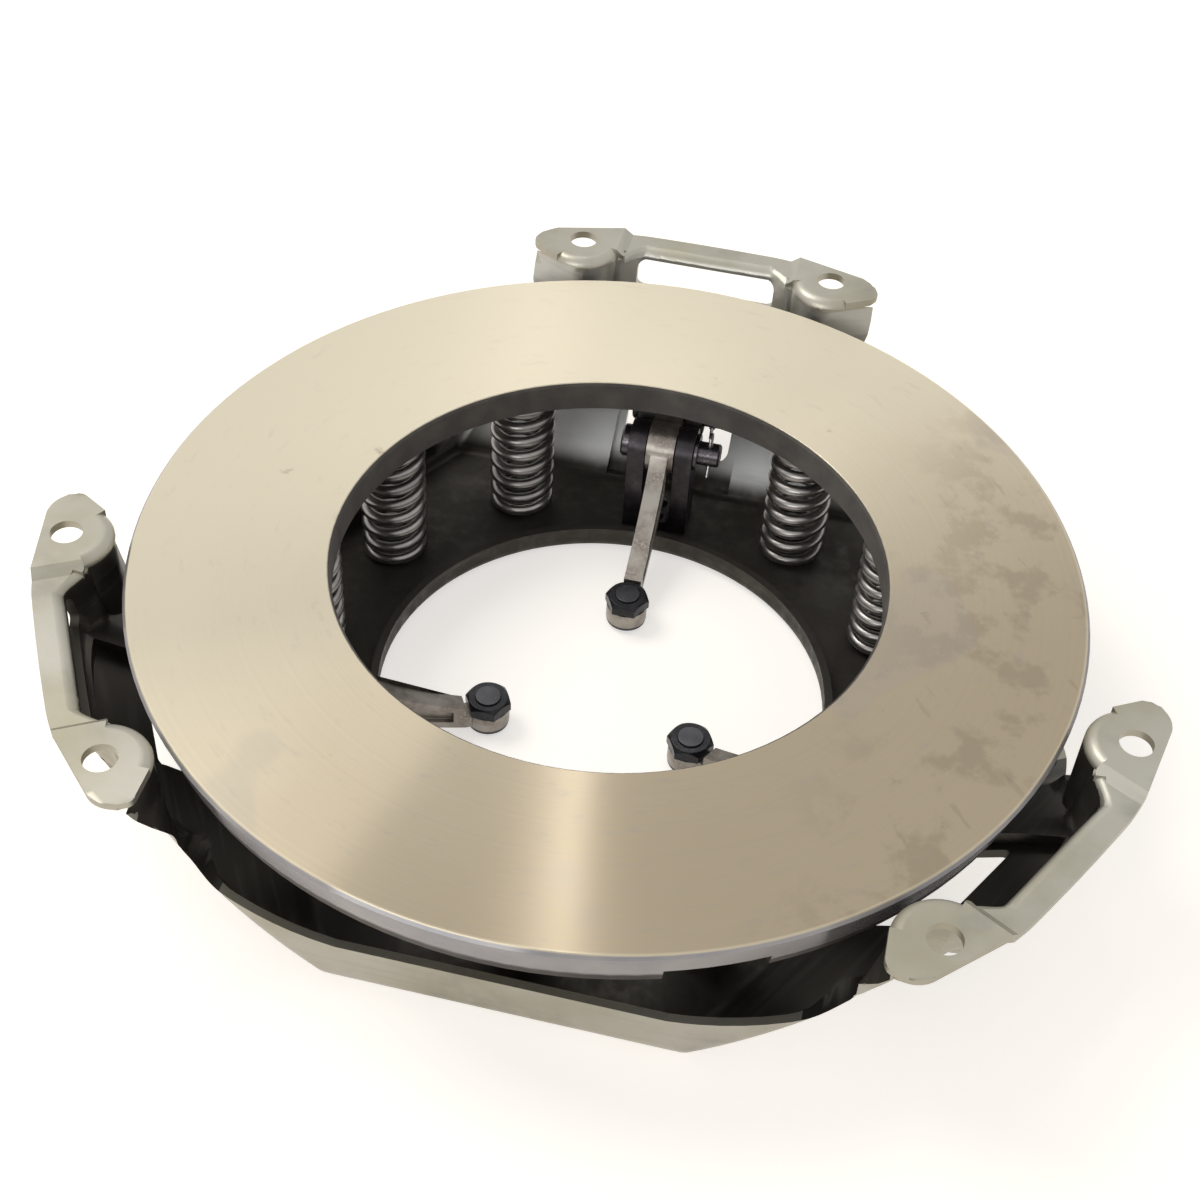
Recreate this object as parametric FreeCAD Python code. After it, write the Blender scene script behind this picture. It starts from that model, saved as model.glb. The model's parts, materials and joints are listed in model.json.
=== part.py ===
# Clutch pressure plate: a three-lever, nine-spring cover assembly for an 11 inch clutch.
#
# The cover's six ears bolt to the flywheel at z = 0, and +Z points to the flywheel.
# The bolt circle is centred on the Z axis. Each of the three lobes of the cover has two
# ears and one release lever. A lobe is modelled along +X, where "out" is the distance
# from the middle, "side" runs across it and counter-clockwise is the positive side,
# and is then turned to its own angle. A valley is the low stretch between two lobes.
import FreeCAD, Part
import math
import os

from FreeCAD import Vector

# Layout
LOBE_ANGLES = (90.0, 210.0, 330.0)
VALLEY_TURN = 60.0
SPRING_STEP = 30.0

# Fits: radial gaps of pieces that are pressed or riveted, and of pieces that turn
FIT_GAP = 0.03
RUN_GAP = 0.05

# How near two places count as the same
TOUCH = 0.01

# Pressed steel cover
SHEET = 2.5
COVER_DEPTH = 67.2
LOBE_CENTRE_OUT = 53.0
LOBE_WALL_GAP = 7.75
WALL_DRAFT = 5.7
RAMP_FOLD_OUT = 103.0
RAMP_ANGLE = 43.8
BEND_RADIUS = 7.0

# The sunken panel that carries the yoke, down the middle of each ramp
PANEL_SHIFT = 5.0
PANEL_HALF_WIDTH = 22.0

# Edge of the cover in the valleys
RIM_HEIGHT = 20.5
RIM_FLAT = 45.0
RIM_RISE = 5.7
RIM_CORNER_RADIUS = 18.5

# Bolt ears, with the pocket that each bolt head needs
BOLT_HALF_ANGLE = 16.27
BOLT_HOLE = 9.5
POCKET_RADIUS = 11.0
POCKET_GAP = 3.65
EAR_ROLL = 3.5

# How far each corner of an ear lies past the bolt, outwards and sideways
EAR_TIP_REACH = 11.14
EAR_TIP_BACK = 12.53
EAR_HEEL_REACH = 3.64
EAR_HEEL_ASIDE = 13.77
EAR_CORNER_REACH = 12.55

# Strip that joins the two ears of a lobe
STRIP_DROP = 2.5
STRIP_STEP = 3.0
STRIP_REACH = 12.34

# Windows in the wall and in the ramp of each lobe
WALL_WINDOW_HALF = 24.5
WALL_WINDOW_TOP = 6.2
WALL_WINDOW_HEIGHT = 10.5
RAMP_WINDOW_HALF = 19.0
RAMP_WINDOW_START = 114.0
RAMP_WINDOW_LENGTH = 23.0
WINDOW_CORNER = 3.0

# Rolled lip round the central hole
HOLE_RADIUS = 70.0
LIP_HEIGHT = 9.0
LIP_BEND = 4.0
LIP_REACH = 8.0

# Cast iron pressure plate
PLATE_RADIUS = 140.0
PLATE_BORE = 81.5
PLATE_FACE_DROP = 4.7
PLATE_THICKNESS = 11.0
PLATE_CHAMFER = 1.0
BAND_HEIGHT = 9.4
BAND_TAPER = 2.4
RIM_RIB_DEPTH = 3.0
RIM_RIB_WIDTH = 11.0
NOTCH_ANGLE = -35.75
NOTCH_SPAN = 11.5
NOTCH_DEPTH = 6.0

# Coil springs and the seats inside their ends
SPRING_CIRCLE = 95.5
SPRING_MEAN_RADIUS = 9.1
SPRING_WIRE = 3.8
SPRING_ACTIVE_TURNS = 6.5
SPRING_END_TURNS = 0.75
SPRING_TOP_GAP = 0.3
SPRING_GROUND = 0.2
SEAT_GAP = 0.6
SEAT_HEIGHT = 2.4
SEAT_TAPER = 0.5
TURN_FACETS = 12
WIRE_FACETS = 8

# Fulcrum pin of a lever, in the yoke
FULCRUM_OUT = 88.0
FULCRUM_DROP = 33.7
FULCRUM_PIN = 8.0
FULCRUM_HEAD = 11.0
FULCRUM_HEAD_HEIGHT = 3.0
FULCRUM_TAIL = 8.5
WASHER_RADIUS = 6.2
WASHER_THICKNESS = 1.2

# Pin that hangs the plate on a lever
PLATE_PIN_OUT = 104.0
PLATE_PIN_DROP = 30.7
PLATE_PIN = 7.0
PLATE_PIN_HEAD = 10.0
PLATE_PIN_HEAD_HEIGHT = 2.5
PLATE_PIN_TAIL = 6.5
PIN_CHAMFER = 0.6

# Split pins
SPLIT_WIRE = 2.2
SPLIT_EYE = 2.1
SPLIT_LEG = 4.0
SPLIT_SPREAD = 35.0
SPLIT_INSET = 3.6

# Forged yoke, and the two rivets that hold it
YOKE_GAP = 10.0
YOKE_EAR = 6.0
YOKE_EAR_RADIUS = 8.0
YOKE_BASE_HEIGHT = 4.0
YOKE_BASE_LENGTH = 13.0
YOKE_ROOT_RADIUS = 2.0
RIVET_SHANK = 4.0
RIVET_HEAD_HEIGHT = 1.8
RIVET_HEAD_GAP = 0.1
RIVET_HEADS_APART = 1.2

# Lugs cast under the plate, astride the outer end of each lever
LUG_RADIUS = 6.5
LUG_ROOT_RADIUS = 2.0

# Forged release lever
LEVER_CLEARANCE = 0.3
LEVER_HUB_RADIUS = 8.5
LEVER_EYE_RADIUS = 6.3
LEVER_RIB = 5.8
LEVER_WEB = 2.4
LEVER_RIB_HEIGHT = 2.5
LEVER_SLOT_PLAY = 0.15
ARM_START_HEIGHT = 3.4
ARM_TOP_BACK = 14.0
ARM_TOP_DROP = 10.3
ARM_FOOT_BACK = 14.0
ARM_FOOT_DROP = 23.3
ARM_POCKET_MARGIN = 5.0
BUSH_WALL = 1.6

# Lever tip: boss, adjusting screw and lock nut
TIP_OUT = 36.8
BOSS_HEIGHT = 5.2
BOSS_RADIUS = 6.65
SCREW_SHANK = 8.0
SCREW_HEAD_RADIUS = 6.5
SCREW_HEAD_HEIGHT = 2.0
SCREW_DOME = 0.8
SCREW_STAND = 0.6
NUT_FLATS = 12.7
NUT_HEIGHT = 4.0
NUT_CHAMFER = 0.8

# Places worked out from the sizes above
MARGIN = 5.0
BACK_Z = -COVER_DEPTH
FLOOR_Z = BACK_Z + SHEET
FACE_Z = -PLATE_FACE_DROP
UNDERSIDE_Z = FACE_Z - PLATE_THICKNESS
DRAFT_SLOPE = math.tan(math.radians(WALL_DRAFT))
RAMP_SLOPE = math.tan(math.radians(RAMP_ANGLE))
LOBE_RADIUS = PLATE_RADIUS + LOBE_WALL_GAP - LOBE_CENTRE_OUT
BOLT_RADIUS = PLATE_RADIUS + POCKET_GAP + SHEET + POCKET_RADIUS
BOLT_OUT = BOLT_RADIUS * math.cos(math.radians(BOLT_HALF_ANGLE))
BOLT_SIDE = BOLT_RADIUS * math.sin(math.radians(BOLT_HALF_ANGLE))
BOLT_FROM_VALLEY = BOLT_RADIUS * math.sin(math.radians(VALLEY_TURN - BOLT_HALF_ANGLE))
EAR_TIP_SIDE = BOLT_SIDE - EAR_TIP_BACK
FULCRUM = Vector(FULCRUM_OUT, 0, -FULCRUM_DROP)
PLATE_PIN_PLACE = Vector(PLATE_PIN_OUT, 0, -PLATE_PIN_DROP)
YOKE_HALF = YOKE_GAP / 2 + YOKE_EAR
LEVER_HALF = YOKE_GAP / 2 - LEVER_CLEARANCE
BUSH_RADIUS = FULCRUM_PIN / 2 + RUN_GAP + BUSH_WALL
BOSS_FOOT = FLOOR_Z
BOSS_TOP = BOSS_FOOT + BOSS_HEIGHT
NUT_CORNER = NUT_FLATS / 2 / math.cos(math.radians(30))
RIVET_HEAD = YOKE_GAP - 2 * YOKE_ROOT_RADIUS - 2 * RIVET_HEAD_GAP
SPRING_INNER = SPRING_MEAN_RADIUS - SPRING_WIRE / 2
SEAT_RADIUS = SPRING_INNER - SEAT_GAP


# Small helpers

def prism(points, push):
    """A straight-sided solid: the closed outline through points, pushed along a vector."""
    return Part.Face(Part.makePolygon(points + [points[0]])).extrude(push)


def outline_prism(edges, push):
    """A solid from an outline of lines and curves, pushed along a vector."""
    return Part.Face(Part.Wire(Part.sortEdges(edges)[0])).extrude(push)


def arc(start, middle, end):
    """The circular edge through three points."""
    return Part.Arc(start, middle, end).toShape()


def cross_bar(place, radius, side_from, side_to):
    """A round bar across the lobe through place, between two side distances."""
    start = Vector(place.x, side_from, place.z)
    return Part.makeCylinder(radius, side_to - side_from, start, Vector(0, 1, 0))


def turned(shape, angle):
    """A copy of the shape, turned about the Z axis."""
    copy = shape.copy()
    copy.rotate(Vector(0, 0, 0), Vector(0, 0, 1), angle)
    return copy


def at_lobes(shape):
    """Copies of a lobe's shape on all three lobes."""
    return [turned(shape, angle) for angle in LOBE_ANGLES]


def mirrored_pair(shape):
    """The shape and its mirror image on the other side of the lobe's axis."""
    return [shape, shape.mirror(Vector(0, 0, 0), Vector(0, 1, 0))]


def fuse_all(shapes):
    """One solid from several that touch or cross."""
    return shapes[0].multiFuse(shapes[1:]).removeSplitter()


def rounded(shape, radius, chosen):
    """The shape with the edges that pass the test rounded."""
    edges = [edge for edge in shape.Edges if chosen(edge)]
    return shape.makeFillet(radius, edges)


def polar(radius, angle, z=0.0):
    """A point from its distance and angle about the Z axis."""
    turn = math.radians(angle)
    return Vector(radius * math.cos(turn), radius * math.sin(turn), z)


def capsule(start, start_radius, end, end_radius, half_width):
    """A bar round two points of the out-z plane, its sides tangent to both circles."""
    along = (end - start).normalize()
    across = Vector(-along.z, 0, along.x)
    lean = math.acos((start_radius - end_radius) / (end - start).Length)
    reach = along * math.cos(lean)
    spread = across * math.sin(lean)
    upper_start = start + (reach + spread) * start_radius
    lower_start = start + (reach - spread) * start_radius
    upper_end = end + (reach + spread) * end_radius
    lower_end = end + (reach - spread) * end_radius
    edges = [
        arc(upper_start, start - along * start_radius, lower_start),
        Part.makeLine(lower_start, lower_end),
        arc(lower_end, end + along * end_radius, upper_end),
        Part.makeLine(upper_end, upper_start),
    ]
    bar = outline_prism(edges, Vector(0, 2 * half_width, 0))
    bar.translate(Vector(0, -half_width, 0))
    return bar


# Cover

def drum_outline(radius, z):
    """Three flats and three round corners, at one height."""
    edges = []
    for angle in LOBE_ANGLES:
        centre = polar(LOBE_CENTRE_OUT, angle, z)
        start = centre + polar(radius, angle - VALLEY_TURN)
        middle = centre + polar(radius, angle)
        end = centre + polar(radius, angle + VALLEY_TURN)
        next_centre = polar(LOBE_CENTRE_OUT, angle + 2 * VALLEY_TURN, z)
        edges.append(arc(start, middle, end))
        edges.append(Part.makeLine(end, next_centre + polar(radius, angle + VALLEY_TURN)))
    return Part.Wire(edges)


def drum(inset):
    """The drawn drum up to the ears' top, before anything is cut from it."""
    base_z = BACK_Z + inset
    side_inset = inset / math.cos(math.radians(WALL_DRAFT))
    base = LOBE_RADIUS + DRAFT_SLOPE * inset - side_inset
    top = LOBE_RADIUS + DRAFT_SLOPE * COVER_DEPTH - side_inset
    return Part.makeLoft([drum_outline(base, base_z), drum_outline(top, 0)], True, True)


def under_ramp(inset, shift, side_from, side_to):
    """What lies below a ramp, between two side distances."""
    fold = RAMP_FOLD_OUT + shift - inset * math.tan(math.radians(RAMP_ANGLE / 2))
    base_z = BACK_Z + inset
    low = base_z - MARGIN
    far = fold + 2 * COVER_DEPTH / RAMP_SLOPE
    points = [
        Vector(fold - MARGIN / RAMP_SLOPE, side_from, low),
        Vector(fold - base_z / RAMP_SLOPE, side_from, 0),
        Vector(far, side_from, 0),
        Vector(far, side_from, low),
    ]
    return prism(points, Vector(0, side_to - side_from, 0))


def yoke_panel(inset, solid_drum):
    """The part of a ramp's middle that is sunk below the rest of the ramp."""
    half = PANEL_HALF_WIDTH + SHEET - inset
    raised = under_ramp(inset, 0, -half, half)
    sunk = under_ramp(inset, PANEL_SHIFT, -half, half)
    return raised.cut(sunk).common(turned(solid_drum, -LOBE_ANGLES[0]))


def cover_form(inset):
    """The cover as a solid block. With an inset of the sheet's thickness it is the hollow."""
    plain_drum = drum(inset)
    half = BOLT_RADIUS
    ramps = at_lobes(under_ramp(inset, 0, -half, half))
    panels = at_lobes(yoke_panel(inset, plain_drum))
    pocket = Part.makeCylinder(POCKET_RADIUS + inset, COVER_DEPTH + MARGIN,
                               Vector(BOLT_OUT, BOLT_SIDE, BACK_Z))
    pockets = [turned(each, angle) for angle in LOBE_ANGLES for each in mirrored_pair(pocket)]
    form = plain_drum.cut(ramps)
    form = rounded(form, BEND_RADIUS - inset, below_the_ears)
    return form.fuse(panels).cut(pockets)


def below_the_ears(edge):
    """True for the edges that stay clear of the drum's open top."""
    return all(vertex.Z < -TOUCH for vertex in edge.Vertexes)


def rim_cutter():
    """What is cut from the wall in a valley, in the valley's own axes."""
    edge_side = BOLT_FROM_VALLEY - POCKET_RADIUS
    corner_side = edge_side - RIM_CORNER_RADIUS
    rim_z = BACK_Z + RIM_HEIGHT
    corner_z = rim_z + RIM_RISE
    bend = RIM_CORNER_RADIUS * math.sin(math.radians(45))
    edges = []
    for hand in (-1, 1):
        flat_end = Vector(0, hand * RIM_FLAT, rim_z)
        foot = Vector(0, hand * corner_side, corner_z)
        middle = Vector(0, hand * (corner_side + bend), corner_z + RIM_CORNER_RADIUS - bend)
        head = Vector(0, hand * edge_side, corner_z + RIM_CORNER_RADIUS)
        top = Vector(0, hand * edge_side, MARGIN)
        edges += [Part.makeLine(flat_end, foot), arc(foot, middle, head),
                  Part.makeLine(head, top)]
    edges.append(Part.makeLine(Vector(0, -RIM_FLAT, rim_z), Vector(0, RIM_FLAT, rim_z)))
    edges.append(Part.makeLine(Vector(0, -edge_side, MARGIN), Vector(0, edge_side, MARGIN)))
    cutter = outline_prism(edges, Vector(BOLT_RADIUS, 0, 0))
    cutter.translate(Vector(HOLE_RADIUS, 0, 0))
    return cutter


def ear_step(side_shift, z_shift):
    """The four corners of the step from one ear down to the strip and up to the other."""
    high = EAR_TIP_SIDE + side_shift
    low = EAR_TIP_SIDE - STRIP_STEP + side_shift
    return [Vector(0, -high, z_shift), Vector(0, -low, z_shift - STRIP_DROP),
            Vector(0, low, z_shift - STRIP_DROP), Vector(0, high, z_shift)]


def flange():
    """The two ears of a lobe and the lower strip between them."""
    corner_side = BOLT_FROM_VALLEY - POCKET_RADIUS - SHEET
    valley_out = Vector(math.cos(math.radians(VALLEY_TURN)), math.sin(math.radians(VALLEY_TURN)), 0)
    valley_side = Vector(valley_out.y, -valley_out.x, 0)
    bolt_distance = BOLT_RADIUS * math.cos(math.radians(VALLEY_TURN - BOLT_HALF_ANGLE))
    corner = valley_out * (bolt_distance + EAR_CORNER_REACH) + valley_side * corner_side
    inner_corner = valley_out * bolt_distance + valley_side * corner_side
    half = [Vector(BOLT_OUT - 2 * POCKET_RADIUS, BOLT_SIDE, 0), inner_corner, corner,
            Vector(BOLT_OUT + EAR_HEEL_REACH, BOLT_SIDE + EAR_HEEL_ASIDE, 0),
            Vector(BOLT_OUT + EAR_TIP_REACH, EAR_TIP_SIDE, 0)]
    other = [Vector(point.x, -point.y, 0) for point in reversed(half)]
    edges = [Part.makeLine(*pair) for pair in zip(half, half[1:])]
    edges += [Part.makeLine(*pair) for pair in zip(other, other[1:])]
    edges.append(arc(half[-1], Vector(BOLT_OUT + STRIP_REACH, 0, 0), other[0]))
    edges.append(Part.makeLine(other[-1], half[0]))
    plan = outline_prism(edges, Vector(0, 0, -COVER_DEPTH / 2))
    step_angle = math.atan2(STRIP_DROP, STRIP_STEP)
    shift = SHEET * math.tan(step_angle / 2)
    far = Vector(0, BOLT_RADIUS, 0)
    top = [-far] + ear_step(0, 0) + [far]
    under = [-far - Vector(0, 0, SHEET)] + ear_step(shift, -SHEET) + [far - Vector(0, 0, SHEET)]
    slab = prism(top + under[::-1], Vector(2 * BOLT_RADIUS, 0, 0))
    return plan.common(slab)


def above_strip():
    """What is trimmed off the wall's top edge between the ears of a lobe."""
    lid = [Vector(0, EAR_TIP_SIDE, MARGIN), Vector(0, -EAR_TIP_SIDE, MARGIN)]
    cutter = prism(ear_step(0, 0) + lid, Vector(BOLT_RADIUS, 0, 0))
    cutter.translate(Vector(LOBE_CENTRE_OUT, 0, 0))
    return cutter


def wall_window():
    """The slot in the wall under the strip, as a solid to cut."""
    block = Part.makeBox(BOLT_RADIUS, 2 * WALL_WINDOW_HALF, WALL_WINDOW_HEIGHT,
                         Vector(PLATE_RADIUS, -WALL_WINDOW_HALF, -WALL_WINDOW_TOP - WALL_WINDOW_HEIGHT))
    along = Vector(1, 0, 0)
    return rounded(block, WINDOW_CORNER, lambda edge: is_along(edge, along))


def ramp_window():
    """The opening in the sunken panel behind the lever, as a solid to cut."""
    block = Part.makeBox(RAMP_WINDOW_LENGTH, 2 * RAMP_WINDOW_HALF, COVER_DEPTH,
                         Vector(RAMP_WINDOW_START, -RAMP_WINDOW_HALF, BACK_Z - WALL_WINDOW_TOP))
    block = block.common(under_ramp(SHEET + MARGIN, 0, -BOLT_SIDE, BOLT_SIDE))
    upright = Vector(0, 0, 1)
    return rounded(block, WINDOW_CORNER, lambda edge: is_along(edge, upright))


def is_along(edge, direction):
    """True for a straight edge that runs along the direction."""
    run = edge.Vertexes[-1].Point - edge.Vertexes[0].Point
    return edge.Curve.TypeId == "Part::GeomLine" and run.cross(direction).Length < TOUCH


def lip():
    """The rolled edge of the central hole, turned up towards the plate."""
    wall = HOLE_RADIUS + SHEET
    outer = LIP_BEND
    inner = LIP_BEND - SHEET
    top = BACK_Z + LIP_HEIGHT
    half = math.sin(math.radians(45))
    centre = Vector(HOLE_RADIUS + outer, 0, BACK_Z + outer)
    edges = [
        Part.makeLine(Vector(HOLE_RADIUS, 0, top), Vector(HOLE_RADIUS, 0, centre.z)),
        arc(Vector(HOLE_RADIUS, 0, centre.z), centre - Vector(outer * half, 0, outer * half),
            Vector(centre.x, 0, BACK_Z)),
        Part.makeLine(Vector(centre.x, 0, BACK_Z), Vector(HOLE_RADIUS + LIP_REACH, 0, BACK_Z)),
        Part.makeLine(Vector(HOLE_RADIUS + LIP_REACH, 0, BACK_Z),
                      Vector(HOLE_RADIUS + LIP_REACH, 0, FLOOR_Z)),
        Part.makeLine(Vector(HOLE_RADIUS + LIP_REACH, 0, FLOOR_Z), Vector(centre.x, 0, FLOOR_Z)),
        arc(Vector(centre.x, 0, FLOOR_Z), centre - Vector(inner * half, 0, inner * half),
            Vector(wall, 0, centre.z)),
        Part.makeLine(Vector(wall, 0, centre.z), Vector(wall, 0, top)),
        Part.makeLine(Vector(wall, 0, top), Vector(HOLE_RADIUS, 0, top)),
    ]
    face = Part.Face(Part.Wire(Part.sortEdges(edges)[0]))
    return face.revolve(Vector(0, 0, 0), Vector(0, 0, 1), 360)


def spring_places():
    """The middle of each spring, as angles round the assembly."""
    steps = round(360 / SPRING_STEP)
    angles = [number * SPRING_STEP for number in range(steps)]
    return [angle for angle in angles if angle not in LOBE_ANGLES]


def spring_seat(radius, z, height, angle):
    """A short tapered boss at a spring's middle, standing up from z or hanging from it."""
    direction = Vector(0, 0, math.copysign(1, height))
    return Part.makeCone(radius, radius - SEAT_TAPER, abs(height),
                         polar(SPRING_CIRCLE, angle, z), direction)


def rivet_places():
    """The two rivets of a yoke, on the lobe's axis."""
    middle = FULCRUM_OUT - YOKE_EAR_RADIUS + YOKE_BASE_LENGTH / 2
    spacing = RIVET_HEAD + RIVET_HEADS_APART
    return [Vector(middle + hand * spacing / 2, 0, 0) for hand in (-1, 1)]


def rivet(gap):
    """One rivet, or its hole where the gap is more than nothing."""
    shank = RIVET_SHANK / 2 + gap
    tail = RIVET_HEAD / 2 + gap
    grip = FLOOR_Z + YOKE_BASE_HEIGHT
    countersink = Part.makeCone(tail, shank, SHEET / 2, Vector(0, 0, BACK_Z))
    body = Part.makeCylinder(shank, grip - BACK_Z, Vector(0, 0, BACK_Z))
    return fuse_all([countersink, body])


def roll_cutter(centre, radius, hand, top_z, first, last):
    """What is cut to round a level edge over, along an arc about an upright line.

    hand is 1 where the sheet lies inside the arc and -1 where it lies outside.
    """
    half = EAR_ROLL * math.sin(math.radians(45))
    corner = radius - hand * EAR_ROLL
    clear = radius + hand * MARGIN / 2
    foot = top_z - EAR_ROLL
    edges = [
        arc(Vector(corner, 0, top_z), Vector(corner + hand * half, 0, foot + half),
            Vector(radius, 0, foot)),
        Part.makeLine(Vector(radius, 0, foot), Vector(clear, 0, foot)),
        Part.makeLine(Vector(clear, 0, foot), Vector(clear, 0, MARGIN)),
        Part.makeLine(Vector(clear, 0, MARGIN), Vector(corner, 0, MARGIN)),
        Part.makeLine(Vector(corner, 0, MARGIN), Vector(corner, 0, top_z)),
    ]
    face = turned(Part.Face(Part.Wire(Part.sortEdges(edges)[0])), first)
    cutter = face.revolve(Vector(0, 0, 0), Vector(0, 0, 1), last - first)
    return cutter.translated(centre)


def edge_rolls():
    """What is cut to roll the ears and the strip of a lobe over into the wall."""
    hollow_radius = (LOBE_RADIUS + DRAFT_SLOPE * (COVER_DEPTH - STRIP_DROP - EAR_ROLL)
                     - SHEET / math.cos(math.radians(WALL_DRAFT)))
    strip_end = math.degrees(math.asin((EAR_TIP_SIDE - STRIP_STEP) / hollow_radius))
    strip_roll = roll_cutter(Vector(LOBE_CENTRE_OUT, 0, 0), hollow_radius, -1, -STRIP_DROP,
                             -strip_end, strip_end)
    to_strip = Vector(LOBE_CENTRE_OUT, 0, 0) + polar(hollow_radius, strip_end)
    ear_end = 360 + math.degrees(math.atan2(to_strip.y - BOLT_SIDE, to_strip.x - BOLT_OUT))
    ear_start = VALLEY_TURN + 90
    ear_roll = roll_cutter(Vector(BOLT_OUT, BOLT_SIDE, 0), POCKET_RADIUS + SHEET, 1, 0,
                           ear_start, ear_end)
    return mirrored_pair(ear_roll) + [strip_roll]


def cover():
    """The pressed cover, with its ears, strips, windows, lip and spring seats."""
    hollow = cover_form(SHEET)
    wall = cover_form(0).cut(hollow)
    cutters = [turned(rim_cutter(), angle + VALLEY_TURN) for angle in LOBE_ANGLES]
    cutters += at_lobes(above_strip())
    cutters.append(Part.makeCylinder(HOLE_RADIUS + LIP_REACH, 2 * MARGIN,
                                     Vector(0, 0, BACK_Z - MARGIN)))
    wall = wall.cut(cutters)
    flanges = [each.cut(hollow) for each in at_lobes(flange())]
    seats = [spring_seat(SEAT_RADIUS, FLOOR_Z, SEAT_HEIGHT, angle) for angle in spring_places()]
    body = fuse_all([wall, lip()] + flanges + seats)
    hole = Part.makeCylinder(BOLT_HOLE / 2, 2 * MARGIN, Vector(BOLT_OUT, BOLT_SIDE, -MARGIN))
    holes = mirrored_pair(hole) + edge_rolls() + [wall_window(), ramp_window()]
    for place in rivet_places():
        holes.append(rivet(FIT_GAP).translated(place))
    cuts = [each for hole_shape in holes for each in at_lobes(hole_shape)]
    cuts += [spring_seat(SEAT_RADIUS - SHEET / 2, BACK_Z, SEAT_HEIGHT, angle)
             for angle in spring_places()]
    return body.cut(cuts)


# Pressure plate

def plate_section():
    """The plate's section, from the bore out to the rim."""
    band_foot = FACE_Z - BAND_HEIGHT
    rim = PLATE_RADIUS - BAND_TAPER
    rib = rim - RIM_RIB_WIDTH
    return [
        Vector(PLATE_BORE, 0, UNDERSIDE_Z + PLATE_CHAMFER),
        Vector(PLATE_BORE, 0, FACE_Z - PLATE_CHAMFER),
        Vector(PLATE_BORE + PLATE_CHAMFER, 0, FACE_Z),
        Vector(PLATE_RADIUS - PLATE_CHAMFER, 0, FACE_Z),
        Vector(PLATE_RADIUS, 0, FACE_Z - PLATE_CHAMFER),
        Vector(rim, 0, band_foot),
        Vector(rim - PLATE_CHAMFER, 0, UNDERSIDE_Z - RIM_RIB_DEPTH),
        Vector(rib, 0, UNDERSIDE_Z - RIM_RIB_DEPTH),
        Vector(rib - RIM_RIB_DEPTH, 0, UNDERSIDE_Z),
        Vector(PLATE_BORE + PLATE_CHAMFER, 0, UNDERSIDE_Z),
    ]


def plate_lug():
    """One lug under the plate, from the web down round the plate pin."""
    left = PLATE_PIN_OUT - LUG_RADIUS
    right = PLATE_PIN_OUT + LUG_RADIUS
    side = YOKE_GAP / 2
    root = UNDERSIDE_Z + PLATE_THICKNESS / 2
    pin_z = -PLATE_PIN_DROP
    edges = [
        Part.makeLine(Vector(left, side, root), Vector(left, side, pin_z)),
        arc(Vector(left, side, pin_z), Vector(PLATE_PIN_OUT, side, pin_z - LUG_RADIUS),
            Vector(right, side, pin_z)),
        Part.makeLine(Vector(right, side, pin_z), Vector(right, side, root)),
        Part.makeLine(Vector(right, side, root), Vector(left, side, root)),
    ]
    return outline_prism(edges, Vector(0, YOKE_EAR, 0))


def rim_notch(angle):
    """The recess in the cast body under the machined band."""
    band_foot = FACE_Z - BAND_HEIGHT
    ring = Part.makeCylinder(PLATE_RADIUS, PLATE_THICKNESS, Vector(0, 0, band_foot - PLATE_THICKNESS),
                             Vector(0, 0, 1), NOTCH_SPAN)
    core = Part.makeCylinder(PLATE_RADIUS - BAND_TAPER - NOTCH_DEPTH, 2 * PLATE_THICKNESS,
                             Vector(0, 0, band_foot - 2 * PLATE_THICKNESS))
    return turned(ring.cut(core), angle + NOTCH_ANGLE - NOTCH_SPAN / 2)


def pressure_plate():
    """The cast plate with its rim rib, spring bosses and three pairs of lugs."""
    section = plate_section()
    face = Part.Face(Part.makePolygon(section + [section[0]]))
    disc = face.revolve(Vector(0, 0, 0), Vector(0, 0, 1), 360)
    lugs = [turned(each, angle) for angle in LOBE_ANGLES for each in mirrored_pair(plate_lug())]
    bosses = [spring_seat(SEAT_RADIUS, UNDERSIDE_Z, -SEAT_HEIGHT, angle)
              for angle in spring_places()]
    plate = fuse_all([disc] + lugs + bosses)
    plate = rounded(plate, LUG_ROOT_RADIUS, lug_root)
    notches = [rim_notch(angle) for angle in LOBE_ANGLES]
    bores = at_lobes(cross_bar(PLATE_PIN_PLACE, PLATE_PIN / 2 + FIT_GAP, -2 * YOKE_HALF, 2 * YOKE_HALF))
    return plate.cut(notches + bores)


def lug_root(edge):
    """True for the straight edges where a lug meets the plate's underside."""
    straight = edge.Curve.TypeId == "Part::GeomLine"
    return straight and all(abs(vertex.Z - UNDERSIDE_Z) < TOUCH for vertex in edge.Vertexes)


# Springs

def spring_path(height):
    """The wire's middle line: closed end turns and open turns between them."""
    rise = height - SPRING_WIRE + 2 * SPRING_GROUND * SPRING_WIRE
    end_rise = SPRING_END_TURNS * SPRING_WIRE
    pitch = (rise - 2 * end_rise) / SPRING_ACTIVE_TURNS
    turns = SPRING_ACTIVE_TURNS + 2 * SPRING_END_TURNS
    start_z = SPRING_WIRE / 2 - SPRING_GROUND * SPRING_WIRE
    points = []
    for number in range(round(turns * TURN_FACETS) + 1):
        turn = number / TURN_FACETS
        from_start = min(turn, SPRING_END_TURNS)
        opened = min(max(turn - SPRING_END_TURNS, 0), SPRING_ACTIVE_TURNS)
        from_end = max(turn - SPRING_END_TURNS - SPRING_ACTIVE_TURNS, 0)
        z = start_z + (from_start + from_end) * SPRING_WIRE + opened * pitch
        points.append(polar(SPRING_MEAN_RADIUS, 360 * turn, z))
    return points


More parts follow.
